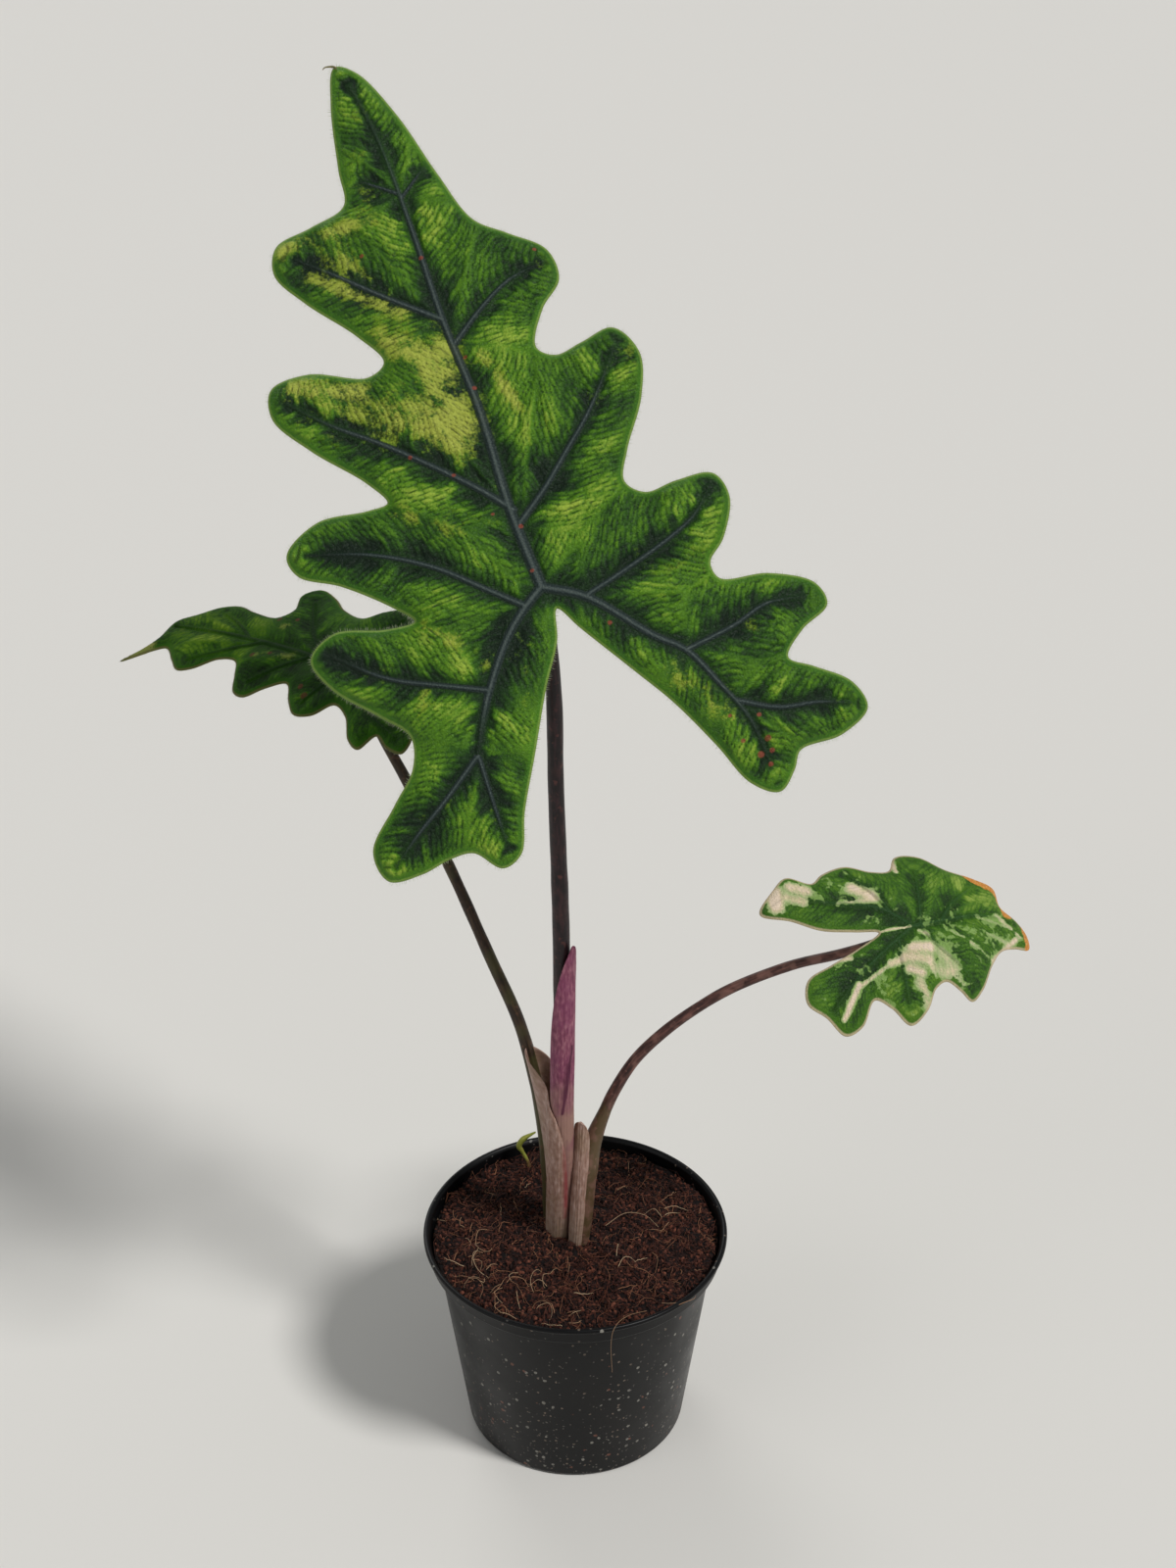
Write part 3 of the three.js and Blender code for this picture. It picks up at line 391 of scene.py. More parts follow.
# %% The plan of the right leaf
RIGHT_LEAF = {
    "place": (125, 10, 223),
    "turn": {"tilt": 33, "roll": 12, "spin": -76},
    "bend": {
        "tip": 14, "tip_length": 55, "heel": 5, "heel_length": 50,
        "left": 3, "right": 9, "half_width": 40,
    },
    "margin": [
        [(6, 51), (0, 48), (-6, 42)],
        [(-14, 42), (-18, 34), (-22, 22), (-28, 12), (-29, 3), (-24, -1)],
        [(-25, -8), (-29, -17), (-27, -27), (-24, -32)],
        [(-28, -41), (-24, -47), (-16, -54), (-11, -44), (-5, -34), (-2, -22), (0, -13)],
        [(5, -23), (9, -34), (13, -44), (21, -46), (27, -40), (34, -34), (32, -27), (24, -21)],
        [(28, -15), (35, -9), (31, -2), (24, 3), (22, 8)],
        [(26, 13), (30, 17), (26, 23), (17, 30), (12, 36)],
        [(11, 43), (11, 50)],
    ],
    "ribs": [
        ([(0, 0), (-1, 14), (-2, 30), (1, 45)], (1.7, 0.7)),
        ([(0, 0), (-9, -10), (-14, -26), (-20, -42)], (1.4, 0.8)),
        ([(0, 0), (9, -16), (18, -29), (25, -37)], (1.4, 0.8)),
        ([(0, 3), (-10, 6), (-22, 8)], (1.1, 0.7)),
        ([(-1, 12), (-8, 20), (-15, 33)], (1.1, 0.7)),
        ([(-5, -6), (-14, -10), (-25, -18)], (1.1, 0.7)),
        ([(0, 3), (9, 8), (17, 15), (25, 19)], (1.1, 0.7)),
        ([(4, -7), (14, -8), (29, -9)], (1.1, 0.7)),
    ],
    "pale": [
        ((-23, -47), (-17, -48), 3.2, 1.3),
        ((-24, -41), (-21, -35), 2.6, 1.2),
        ((-20, -43), (-17, -38), 2.8, 1.0),
        ((-20, -33), (-20, -12), 7, 0.36),
        ((-19, -18), (-15, -12), 3.0, 1.25),
        ((-14, -25), (-13, -10), 1.4, 0.95),
        ((-6, -16), (-4, -12), 2.5, 0.4),
        ((0, -13), (0, -1), 0.6, 1.2),
        ((2, 2), (4, 5), 1.0, 0.9),
        ((8, -3), (9, 4), 2.5, 1.25),
        ((11, -6), (14, 2), 3.1, 0.98),
        ((16, -6), (18, -2), 2.2, 1.2),
        ((13, -13), (12, -8), 1.8, 1.1),
        ((12, 8), (18, 13), 3.6, 0.84),
        ((17, 3), (20, 9), 3.6, 0.84),
        ((19, 11), (24, 14), 2.4, 0.82),
        ((21, -3), (29, -2), 2.6, 0.95),
        ((14, -15), (19, -26), 1.0, 1.0),
        ((18, -26), (29, -34), 1.2, 1.25),
        ((17, -18), (24, -18), 6, 0.34),
        ((7, -34), (8, -27), 1.4, 1.2),
        ((8, -36), (7, -28), 4, 0.36),
        ((-27, 1), (-23, 1), 1.2, 1.2),
        ((-1, 9), (1, 39), 5, 0.34),
        ((8, 16), (6, 36), 7, 0.42),
        ((4, 15), (10, 22), 1.0, 0.66),
        ((9, 21), (15, 28), 1.1, 0.68),
        ((-2, 27), (3, 41), 1.0, 0.66),
        ((6, 30), (10, 40), 1.2, 0.7),
        ((-2, 38), (7, 46), 1.3, 0.95),
        ((8, 44), (16, 30), 1.2, 1.1),
    ],
    "scars": [],
    "dying": [
        ((-19, 32), (-13, 43), 2.3, 1.3), ((-13, 43), (-3, 44), 2.1, 1.3), ((3, 51), (12, 50), 2.1, 1.2),
    ],
    "light": [((-15, 26), (-9, 36), 5, 1.2), ((-23, 4), (-19, 14), 4, 0.4), ((20, 6), (16, 18), 4, 0.5)],
    "deep": [((-2, 4), (-6, -10), 5, 0.7), ((6, -12), (16, -30), 6, 0.6), ((-12, 4), (-3, 16), 5, 0.5)],
}
print("right leaf:", len(RIGHT_LEAF["margin"]), "lobes,", len(RIGHT_LEAF["ribs"]), "ribs")

# %% [markdown]
# ## Distances and strokes
# Form and colour of a leaf both follow from distances: how far a point is from a rib, how far
# along that rib, and how far from the margin. A patch is painted with soft strokes, each of them
# strongest on the line between two points.

# %% Distances and strokes
STROKE_FALL = 0.7  # how fast a stroke fades off beside its line


def nearest_on(line, x, y):
    """For each point: its distance to a line of points, and how far along the line that is.

    Past either end, the way along runs on straight, as the last side veins of a rib do.
    """
    best = np.full(len(x), np.inf)
    along = np.zeros(len(x))
    walked = 0.0
    for i, ((ax, ay), (bx, by)) in enumerate(zip(line, line[1:])):
        length = math.hypot(bx - ax, by - ay)
        free = ((x - ax) * (bx - ax) + (y - ay) * (by - ay)) / length**2
        t = np.clip(free, 0, 1)
        distance = np.hypot(x - ax - t * (bx - ax), y - ay - t * (by - ay))
        closer = distance < best
        best[closer] = distance[closer]
        if i > 0:
            free = np.maximum(free, 0)
        if i < len(line) - 2:
            free = np.minimum(free, 1)
        along[closer] = (walked + free * length)[closer]
        walked += length
    return best, along, walked


def stroke_field(strokes, x, y):
    """The strength of some soft strokes at each point. Where two meet, they flow together."""
    field = np.zeros(len(x))
    for start, end, half_width, strength in strokes:
        distance, _, _ = nearest_on((start, end), x, y)
        field += (strength * np.exp(-((distance / half_width) ** 2) * STROKE_FALL)) ** 3
    return np.cbrt(field)


def distances_to(margin, points):
    """How far each flat point is from the points of the margin."""
    tree = KDTree(len(margin))
    for i, (x, y) in enumerate(margin):
        tree.insert((x, y, 0), i)
    tree.balance()
    return np.array([tree.find((x, y, 0))[2] for x, y in points])


halfway = stroke_field([((-5, 0), (5, 0), 2.0, 1.0)], np.zeros(2), np.array([0.0, 2.0]))
print("a stroke's strength on its line and at its half-width:", halfway.round(2))

# %% [markdown]
# ## Ribs, side veins and puckers
# Side veins leave each rib at a slant and curve towards its tip. The skin rises between two of
# them, so they draw narrow grooves about 2.3 mm apart, and short links between them bound the
# puckers of the skin. Noise that is stretched along the side veins makes every third or fourth
# fold a deeper one, and crinkles the skin between them.

# %% Ribs, side veins and puckers
RIB_STEP = 4  # millimetres between two points of a rib
RIB_SLIMNESS = 0.72  # a rib's coloured skin is slimmer than the swelling that it lies on
VEIN_LEAN = 0.55  # millimetres along the rib for each millimetre away from it
VEIN_CURVE = 0.022
VEIN_SHIFT = 0.37  # from rib to rib, so that their side veins don't run in step
NOISE_SHIFT = 131.7  # from rib to rib, so that each has noise of its own
COLUMN_SHIFT = 57  # and puckers of its own


def chance_of(number):
    """A fixed random number from 0 to 1 for each whole number."""
    return np.modf(np.abs(np.sin(number * 12.9898) * 4375.85453))[0]


def rib_fields(leaf, x, y):
    """Where each point lies against its nearest rib, and how far off the next rib is."""
    rows = []
    for route, (start_width, end_width) in leaf["ribs"]:
        distance, along, length = nearest_on(smooth_line(route, RIB_STEP), x, y)
        end = np.clip(along / length, 0, 1)
        half_width = RIB_SLIMNESS * (start_width + (end_width - start_width) * end)
        rows.append((distance - half_width, along, distance / half_width, end))
    columns = np.array(rows).transpose(1, 0, 2)
    order = np.argsort(columns[0], axis=0)
    points = np.arange(len(x))
    nearest = (values[order[0], points] for values in columns)
    return dict(zip(("gap", "along", "share", "end"), nearest)) | {
        "first": order[0],
        "next_gap": columns[0][order[1], points],
    }


def vein_fields(look, rib, from_margin, x, y):
    """The side veins beside each rib, and the puckers, folds and crinkles between them."""
    gap, first = rib["gap"], rib["first"]
    away = np.maximum(gap, 0)
    wobble = 0.7 * soft_noise(x, y, 10, 3) + 0.3 * soft_noise(x, y, 4, 4)
    vein = (rib["along"] - VEIN_LEAN * away - VEIN_CURVE * away**2) / look["vein_pitch"]
    vein = vein + first * VEIN_SHIFT + wobble
    row = gap + NOISE_SHIFT * first
    column = np.floor(vein) + COLUMN_SHIFT * first
    link = row / look["pucker_length"] + chance_of(column) + 0.3 * soft_noise(x, y, 3, 48)
    from_vein = 0.5 - np.abs((vein % 1) - 0.5)
    from_link = 0.5 - np.abs((link % 1) - 0.5)
    seam = smooth_step(0.1, 2.2, rib["next_gap"] - gap)
    near_margin = smooth_step(0.9, 2.8, from_margin)
    return {
        "fade": smooth_step(0.1, 1.6, away) * near_margin * (0.3 + 0.7 * seam),
        "from_vein": from_vein,
        "from_link": from_link,
        "pucker": (1 - (1 - 2 * from_vein) ** 2.4) * (1 - (1 - 2 * from_link) ** 5),
        "lot": chance_of(column + 13.7 * np.floor(link)) - 0.5,
        "broad": soft_noise(vein / 3.4, row / 15, 1, 41),
        "streak": soft_noise(vein / 1.15, row / 5.5, 1, 42),
        "crinkle": soft_noise(vein * 1.9, row / 2.2, 1, 43),
    }


print("the large leaf has", len(LARGE_LEAF["ribs"]), "ribs with side veins")

# %% [markdown]
# ## Where the colours lie
# Colour follows the same lines as form: dark beside the ribs, light between them, pale where
# the leaf has lost its green. The dark beside the ribs is partly the leaf's own deep green and
# partly painted shade where the skin sinks along them, and raised folds and puckers are painted
# lighter, as painted light. Each field says how much of a colour there is at a point, and noise
# along the side veins frays its border, as on the real leaf.

# %% Where the colours lie
SCAR_LENGTH = 0.3


def tone_field(leaf, look, rib, vein, blotch, x, y):
    """The green of each point, from 0, the darkest, to 1."""
    broad, streak, crinkle = vein["broad"], vein["streak"], vein["crinkle"]
    dark_reach = look["dark_reach"] * (1 - 0.6 * smooth_step(0.6, 1.0, rib["end"]))
    # The dark beside the ribs is partly the leaf's own deep green and partly painted shade in the skin
    # that sinks along them
    frayed = rib["gap"] - 0.2 + 1.7 * streak + 1.2 * broad + 0.9 * crinkle
    reach = smooth_step(0.0, 1.0, frayed / dark_reach)
    tone = look["dark"] + (look["light"] - look["dark"]) * reach
    # Painted light and shade: raised folds, crinkles and the middles of puckers are painted lighter and
    # their troughs darker, while lot gives each pucker a random tone of its own
    folded = 0.2 * broad + 0.1 * streak + 0.08 * crinkle
    tone += vein["fade"] * (folded + 0.22 * (vein["pucker"] - 0.5) + 0.12 * vein["lot"])
    tone += 0.1 * soft_noise(x, y, 14, 46) + 0.05 * blotch
    # The light and deep strokes make the green lighter or darker in the places given
    tone += 0.3 * stroke_field(leaf["light"], x, y) - 0.3 * stroke_field(leaf["deep"], x, y)
    return tone


def blade_fields(leaf, look, margin, x, y):
    """What a blade's form and its skin need to know at flat points x, y, in millimetres."""
    rib = rib_fields(leaf, x, y)
    from_margin = distances_to(margin, zip(x, y))
    vein = vein_fields(look, rib, from_margin, x, y)
    blotch = soft_noise(x, y, 4.5, 49)
    speckle = 0.6 * soft_noise(x, y, 1.6, 44) + 0.4 * soft_noise(x, y, 0.8, 45)
    on_streak, on_blotch, on_speckle, on_lot = look["patch_noise"]
    ragged = on_streak * vein["streak"] + on_blotch * blotch + on_speckle * speckle + on_lot * vein["lot"]
    pale = stroke_field(leaf["pale"], x, y)
    # The grooves along the side veins and their links are painted dark: partly the veins' own colour,
    # partly painted shade in the creases between the puckers
    groove = 1 - smooth_step(0.0, 0.24, vein["from_vein"])
    link = 0.55 * (1 - smooth_step(0.0, 0.16, vein["from_link"]))
    groove = np.maximum(groove, link) * vein["fade"]
    spots = [((u, v), (u + SCAR_LENGTH, v), size, 1.0) for (u, v), size in leaf["scars"]]
    form = vein | {"rib_gap": rib["gap"], "rib_share": rib["share"], "margin_gap": from_margin}
    skin = {
        "tone": tone_field(leaf, look, rib, vein, blotch, x, y),
        "rib_share": rib["share"],
        "rib_mask": smooth_step(0.45, -0.3, rib["gap"]) * (1 - 0.8 * smooth_step(0.5, 1.0, rib["end"])),
        "margin_gap": from_margin,
        "groove": groove * (0.75 + 0.4 * speckle),
        "patch": pale + ragged,
        "ripe": pale + 0.1 * vein["streak"] + 0.1 * vein["crinkle"] + 0.12 * blotch,
        "dying": stroke_field(leaf["dying"], x, y) + 0.25 * speckle + 0.1 * blotch,
        "scar": stroke_field(spots, x, y),
    }
    return form, skin


print("pale strokes on each leaf:", [len(leaf["pale"]) for leaf in (LARGE_LEAF, LEFT_LEAF, RIGHT_LEAF)])

# %% [markdown]
# ## The form of a blade
# The blade bends down at its tip, heel and sides, rides in waves towards its lobes and swells
# between the ribs, where the real leaf is quilted. These are the same sizes as the solids have.
# What is added is finer: the folds and puckers of the skin, and a sunk line along each rib.

# %% The form of a blade
BLADE_THICKNESS = 0.9
MARGIN_THICKNESS = 0.5
MARGIN_SOFTNESS = 2  # millimetres over which the margin thins and rolls down
MARGIN_ROLL = 0.8
MARGIN_REACH = 5
QUILT_HEIGHT = 3.2
QUILT_REACH = 9
WAVE_HEIGHT = 2.2
WAVE_LENGTH = 62
RIB_RISE = 0.9
RIB_UNDERSIDE = 1.3
RIB_LINE_DEPTH = 0.16
RIB_LINE_SHARE = 0.22  # of the rib's half-width
HEEL_SWELL = 1.4  # the underside is thicker where the stalk joins it
HEEL_SPREAD = 30  # square millimetres
PUCKER_DEPTH = 0.45  # no deeper, so that the upper face stays clear of the underside


def sheet_height(leaf, look, form, x, y):
    """The height of the blade over its flat plan, which both of its faces share."""
    bend = leaf["bend"]
    tip = bend["tip"] * (y / bend["tip_length"]) ** 2
    heel = bend["heel"] * (y / bend["heel_length"]) ** 2
    across = np.where(x > 0, bend["right"], bend["left"]) * (x / bend["half_width"]) ** 2
    side = np.minimum((x / bend["half_width"]) ** 2, 1)
    wave = WAVE_HEIGHT * side * np.sin(math.tau * y / WAVE_LENGTH + np.where(x > 0, 1, 0))
    from_rib = np.maximum(form["rib_gap"], 0)
    from_margin = form["margin_gap"]
    swell = (1 - np.exp(-from_rib / QUILT_REACH)) * (1 - np.exp(-from_margin / MARGIN_REACH))
    roll = MARGIN_ROLL * np.exp(-from_margin / MARGIN_SOFTNESS)
    height = -np.where(y > 0, tip, heel) - across + wave + QUILT_HEIGHT * swell - roll
    return height + form["fade"] * look["fold"] * form["broad"]


def upper_face(height, look, form, x, y):
    """The upper face: ribs with a sunk line along them, and puckers between the side veins."""
    ridge = np.clip(1 - form["rib_share"] ** 2, 0, 1)
    line = RIB_LINE_DEPTH * np.exp(-((form["rib_share"] / RIB_LINE_SHARE) ** 2)) * (ridge > 0)
    strength = 0.7 + 0.4 * soft_noise(x, y, 7, 47)
    ripple = look["ripple"] * ((form["pucker"] - 0.6) * strength + 0.25 * form["crinkle"])
    return height + RIB_RISE * ridge - line + form["fade"] * np.maximum(ripple, -PUCKER_DEPTH)


def under_face(height, look, form, x, y):
    """The underside: thin at the margin, swollen under the ribs and where the stalk joins."""
    thinner = (BLADE_THICKNESS - MARGIN_THICKNESS) * np.exp(-form["margin_gap"] / MARGIN_SOFTNESS)
    thickness = BLADE_THICKNESS - thinner
    ridge = np.clip(1 - form["rib_share"] ** 2, 0, 1)
    heel = HEEL_SWELL * np.exp(-(x**2 + y**2) / HEEL_SPREAD)
    return height - thickness - RIB_UNDERSIDE * ridge - heel


print("a blade is", BLADE_THICKNESS, "mm thick and", MARGIN_THICKNESS, "mm at its margin")

# %% [markdown]
# ## The sheet of a blade
# A blade needs a fine, even mesh, because its veins run in every direction. Points on a grid of
# triangles fill the margin, and a Delaunay triangulation joins them to it. The underside is
# plainer and gets a coarser grid. Both sheets share the margin, whose rim is rounded by one
# more row of points. The whole is then turned and set on its stalk.

# %% The sheet of a blade
MARGIN_STEP = 1.15  # of the grid's spacing
CLEAR_OF_MARGIN = 0.6  # of the grid's spacing
RIM_STAND = 0.45  # of the margin's thickness


def turn_of(leaf):
    """The turn from the flat plan to the leaf in its place."""
    turn = {axis: math.radians(angle) for axis, angle in leaf["turn"].items()}
    spin = Matrix.Rotation(turn["spin"], 3, "Z")
    return np.array(Matrix.Rotation(turn["tilt"], 3, "X") @ Matrix.Rotation(turn["roll"], 3, "Y") @ spin)


def place_points(leaf, points):
    """Points of a flat leaf, in millimetres, turned and set on their stalk, in metres."""
    return (np.asarray(points) @ turn_of(leaf).T + leaf["place"]) * MM


def fill_margin(margin, spacing):
    """Points inside the margin on a grid of triangles, and triangles that join them to it."""
    low, high = margin.min(0), margin.max(0)
    after = np.roll(margin, -1, axis=0)
    rows = []
    for i, y in enumerate(np.arange(low[1], high[1], spacing * math.sqrt(3) / 2)):
        crosses = (margin[:, 1] > y) != (after[:, 1] > y)
        a, b = margin[crosses], after[crosses]
        hits = np.sort(a[:, 0] + (b[:, 0] - a[:, 0]) * (y - a[:, 1]) / (b[:, 1] - a[:, 1]))
        xs = np.arange(low[0] + (i % 2) * spacing / 2, high[0], spacing)
        inside = np.searchsorted(hits, xs) % 2 == 1
        rows.append(np.column_stack([xs[inside], np.full(inside.sum(), y)]))
    grid = np.concatenate(rows)
    clear = distances_to(margin, grid) > CLEAR_OF_MARGIN * spacing
    points = np.concatenate([margin, grid[clear]])
    ring = [(i, (i + 1) % len(margin)) for i in range(len(margin))]
    found = delaunay_2d_cdt([Vector(p) for p in points], ring, [list(range(len(margin)))], 1, 1e-5)
    assert len(found[0]) == len(points), "the triangulation moved a point"
    return points, np.array(found[2])


def blade_mesh(name, leaf, look, top_spacing, under_spacing):
    """A blade in metres, in its place, its rim, and the way out of the leaf along the rim."""
    corners = [corner for lobe in leaf["margin"] for corner in lobe]
    margin = smooth_line(corners, top_spacing * MARGIN_STEP, closed=True)
    x, y = margin.T
    if np.sum(x * np.roll(y, -1) - np.roll(x, -1) * y) < 0:
        margin = margin[::-1]
    sheets = []
    for spacing, face in ((top_spacing, upper_face), (under_spacing, under_face)):
        points, triangles = fill_margin(margin, spacing)
        x, y = points.T
        form, skin = blade_fields(leaf, look, margin, x, y)
        height = face(sheet_height(leaf, look, form, x, y), look, form, x, y)
        skin["upper"] = np.full(len(x), float(face is upper_face))
        sheets.append((np.column_stack([x, y, height]), triangles, skin))
    (top, top_faces, top_skin), (under, under_faces, under_skin) = sheets
    count, shift, rim_start = len(margin), len(top), len(top) + len(under)
    way = np.roll(margin, -1, axis=0) - np.roll(margin, 1, axis=0)
    outward = np.column_stack([way[:, 1], -way[:, 0]]) / np.linalg.norm(way, axis=1)[:, None]
    rim = (top[:count] + under[:count]) / 2
    rim[:, :2] += outward * MARGIN_THICKNESS * RIM_STAND
    here = np.arange(count)
    after = (here + 1) % count
    faces = [*top_faces, *((a + shift, c + shift, b + shift) for a, b, c in under_faces)]
    faces += zip(here, rim_start + here, rim_start + after, after)
    faces += zip(rim_start + here, shift + here, shift + after, rim_start + after)
    skin = {
        key: np.concatenate([top_skin[key], under_skin[key], top_skin[key][:count]])
        for key in top_skin
    }
    flat_points = np.concatenate([top, under, rim])
    skin["flat"] = np.column_stack([flat_points[:, :2], np.zeros(len(flat_points))])
    mesh = mesh_from(name, place_points(leaf, flat_points), faces, **skin)
    ways_out = turn_of(leaf) @ np.column_stack([outward, np.zeros(count)]).T
    return mesh, place_points(leaf, rim), ways_out.T


print("the large leaf looks", np.round(turn_of(LARGE_LEAF)[:, 2], 2))

# %% [markdown]
# ## The skin of a leaf
# A living leaf is a wax-coated skin over green tissue: half glossy, with its colour below the
# surface. The large leaf is slate green along its ribs, deep green beside them and lime between
# them, with butter-yellow patches where the tissue has lost its green. The deep green beside the
# ribs and the dark lines of the side veins are partly painted shade, and raised folds and puckers
# are painted lighter. All of this follows the ribs, so the colours are mixed from the attributes,
# and noise only breaks their borders. Water and wax bend light about as much as in any leaf,
# which an IOR of 1.45 gives.

# %% The skin of a leaf
LEAF_FIELDS = (
    "tone", "rib_share", "rib_mask", "margin_gap", "groove", "patch", "ripe", "dying", "scar", "upper",
)
CELLS_PER_MM = 1.1  # groups of cells just under a millimetre across
NET_PER_MM = 0.9  # the net of the smallest veins, drawn twice as coarse as it is
NET_DEPTH = 0.15
GRAIN_DEPTH = 0.35
LEAF_IOR = 1.45


def leaf_skin(look):
    """A leaf's skin from the attributes of its blade. look holds its colours and amounts."""
    material, add, shade = new_material(look["name"])
    read = {key: add("ShaderNodeAttribute", attribute_name=key).outputs["Fac"] for key in LEAF_FIELDS}
    flat = add("ShaderNodeAttribute", attribute_name="flat").outputs["Vector"]
    cells = {"Vector": flat, "Scale": CELLS_PER_MM, "Detail": 4.0, "Roughness": 0.7}
    cells = add("ShaderNodeTexNoise", cells)
    net = {"Vector": flat, "Scale": NET_PER_MM}
    net = add("ShaderNodeTexVoronoi", net, feature="DISTANCE_TO_EDGE")
    off_centre = add("ShaderNodeMath", {0: cells, 1: 0.5}, operation="SUBTRACT")
    broken = {0: off_centre, 1: look["patch_grain"], 2: read["patch"]}
    broken = add("ShaderNodeMath", broken, operation="MULTIPLY_ADD")
    # Each mask rises from one value of its field to another, up to its strength
    masks = {}
    for key, field, start, end, strength in [
        ("patch", broken, *look["patch"]),
        ("groove", read["groove"], 0.1, 0.9, look["groove"]),
        ("band", read["margin_gap"], 2.4, 0.8, look["band"]),
        ("rim", read["margin_gap"], 0.8, 0.25, look["rim"]),
        ("rib", read["rib_mask"], 0.1, 0.8, look["rib"]),
        ("dying", read["dying"], 0.45, 0.7, 0.95),
        ("scar", read["scar"], 0.45, 0.75, 0.8),
        ("net", net, 0.16, 0.0, 1.0),
    ]:
        mask = {"Value": field, "From Min": start, "From Max": end, "To Max": strength}
        masks[key] = add("ShaderNodeMapRange", mask, interpolation_type="SMOOTHSTEP")
    # tone holds the painted shade beside the ribs and the painted light on raised folds and puckers, over
    # the leaf's own greens
    tone = {0: off_centre, 1: 0.45, 2: read["tone"]}
    tone = add("ShaderNodeMath", tone, operation="MULTIPLY_ADD")
    ripeness = add("ShaderNodeMath", {0: read["ripe"], 1: 0.8}, operation="MULTIPLY")
    ripeness = add("ShaderNodeMath", {0: off_centre, 1: 0.5, 2: ripeness}, operation="MULTIPLY_ADD")
    tints = {
        "patch": add("ShaderNodeValToRGB", {"Fac": ripeness}, stops=look["patch_colours"]),
        # the grooves' tint: the veins' own colour and painted shade in their creases
        "groove": linear(look["groove_colour"]),
        "band": linear(look["band_colour"]),
        "rim": linear(look["rim_colour"]),
        "rib": add("ShaderNodeValToRGB", {"Fac": read["rib_share"]}, stops=look["rib_colours"]),
        "dying": add("ShaderNodeValToRGB", {"Fac": cells}, stops=look["dying_colours"]),
        "scar": linear(look["scar_colour"]),
    }
    colour = add("ShaderNodeValToRGB", {"Fac": tone}, stops=look["greens"])
    for key, tint in tints.items():
        colour = add("ShaderNodeMix", {"Factor": masks[key], 6: colour, 7: tint}, data_type="RGBA")
    under = {"Factor": masks["rib"], 6: linear(look["under_colour"]), 7: linear(look["under_rib"])}
    under = add("ShaderNodeMix", under, data_type="RGBA")
    under = add("ShaderNodeMix", {"Factor": 0.3, 6: under, 7: colour}, data_type="RGBA")
    colour = add("ShaderNodeMix", {"Factor": read["upper"], 6: under, 7: colour}, data_type="RGBA")
    # Fine relief, in millimetres: the net of the smallest veins, and the grain of the skin
    sunk = add("ShaderNodeMath", {0: masks["net"], 1: -NET_DEPTH}, operation="MULTIPLY")
    relief = {0: off_centre, 1: GRAIN_DEPTH, 2: sunk}
    relief = add("ShaderNodeMath", relief, operation="MULTIPLY_ADD")
    bump = add("ShaderNodeBump", {"Height": relief, "Distance": MM, "Strength": 1.0})
    smooth, rough = look["roughness"]
    gloss = {"Value": cells, "From Min": 0.3, "From Max": 0.7, "To Min": smooth, "To Max": rough}
    gloss = add("ShaderNodeMapRange", gloss)
    shade({"Base Color": colour, "Roughness": gloss, "Normal": bump})
    shade({"IOR": LEAF_IOR, "Specular IOR Level": look["shine"]})
    return material


print("a leaf's skin reads", len(LEAF_FIELDS), "fields and its flat plan")

# %% [markdown]
# ## The colours of the three leaves
# All three leaves share one recipe, but the left one is smoother, duller and greener, and the
# right one is pale where the large one is yellow. So the second and third looks start from the
# first and change only what differs. Puckers shrink with the leaf, in millimetres.

# %% The colours of the three leaves
# In each look, dark and dark_reach set the dark green beside the ribs, which is partly painted shade
LARGE_LOOK = {
    "name": "waxy quilted leaf skin",
    "vein_pitch": 2.4,
    "pucker_length": 3.4,
    "ripple": 1.0,
    "fold": 1.1,
    "dark": 0.12,
    "light": 0.52,
    "dark_reach": 7.0,
    "greens": [(0.0, "#0c2010"), (0.22, "#193711"), (0.45, "#305a0e"), (0.7, "#588716"), (1.0, "#a3bd42")],
    "patch_noise": (0.2, 0.36, 0.5, 0.35),
    "patch_grain": 1.6,
    "patch": (0.45, 1.15, 0.85),
    "patch_colours": [(0.3, "#668a1a"), (0.55, "#8a9f2b"), (0.85, "#b5bd4e")],
    # groove: how dark the side veins are painted, partly painted shade in their creases
    "groove": 0.7,
    "groove_colour": "#122909",
    "band": 0.45,
    "band_colour": "#3c7414",
    "rim": 0.8,
    "rim_colour": "#7f9c44",
    "rib": 0.95,
    "rib_colours": [
        (0.0, "#58625c"), (0.25, "#3d4947"), (0.5, "#1f2b2c"), (0.8, "#26342f"), (1.0, "#142417"),
    ],
    "dying_colours": [(0.35, "#9a5a26"), (0.65, "#b0702c")],
    "scar_colour": "#8e4433",
    "under_colour": "#6f8f56",
    "under_rib": "#75705f",
    "roughness": (0.38, 0.54),
    "shine": 0.28,  # the wax's matt bloom scatters part of the gloss
}
LEFT_LOOK = LARGE_LOOK | {
    "name": "dull green leaf skin",
    "vein_pitch": 2.1,
    "pucker_length": 3.0,
    "ripple": 0.18,
    "fold": 0.25,
    "dark": 0.3,
    "light": 0.4,
    "dark_reach": 5.0,
    "greens": [(0.0, "#10260a"), (0.3, "#254a0c"), (0.5, "#39680d"), (0.75, "#628f14"), (1.0, "#97b733")],
    "patch_noise": (0.1, 0.3, 0.25, 0.2),
    "patch": (0.55, 1.1, 0.7),
    "patch_colours": [(0.3, "#7f9a33"), (0.6, "#a7b352"), (0.8, "#c2bf6e")],
    "groove": 0.3,
    "band": 0.3,
    "rim_colour": "#6f6a40",
    "rib": 0.55,
    "rib_colours": [(0.0, "#1f3324"), (0.5, "#263c22"), (1.0, "#1f3a16")],
    "scar_colour": "#6a3f2c",
    "roughness": (0.45, 0.6),
    "shine": 0.1,
}
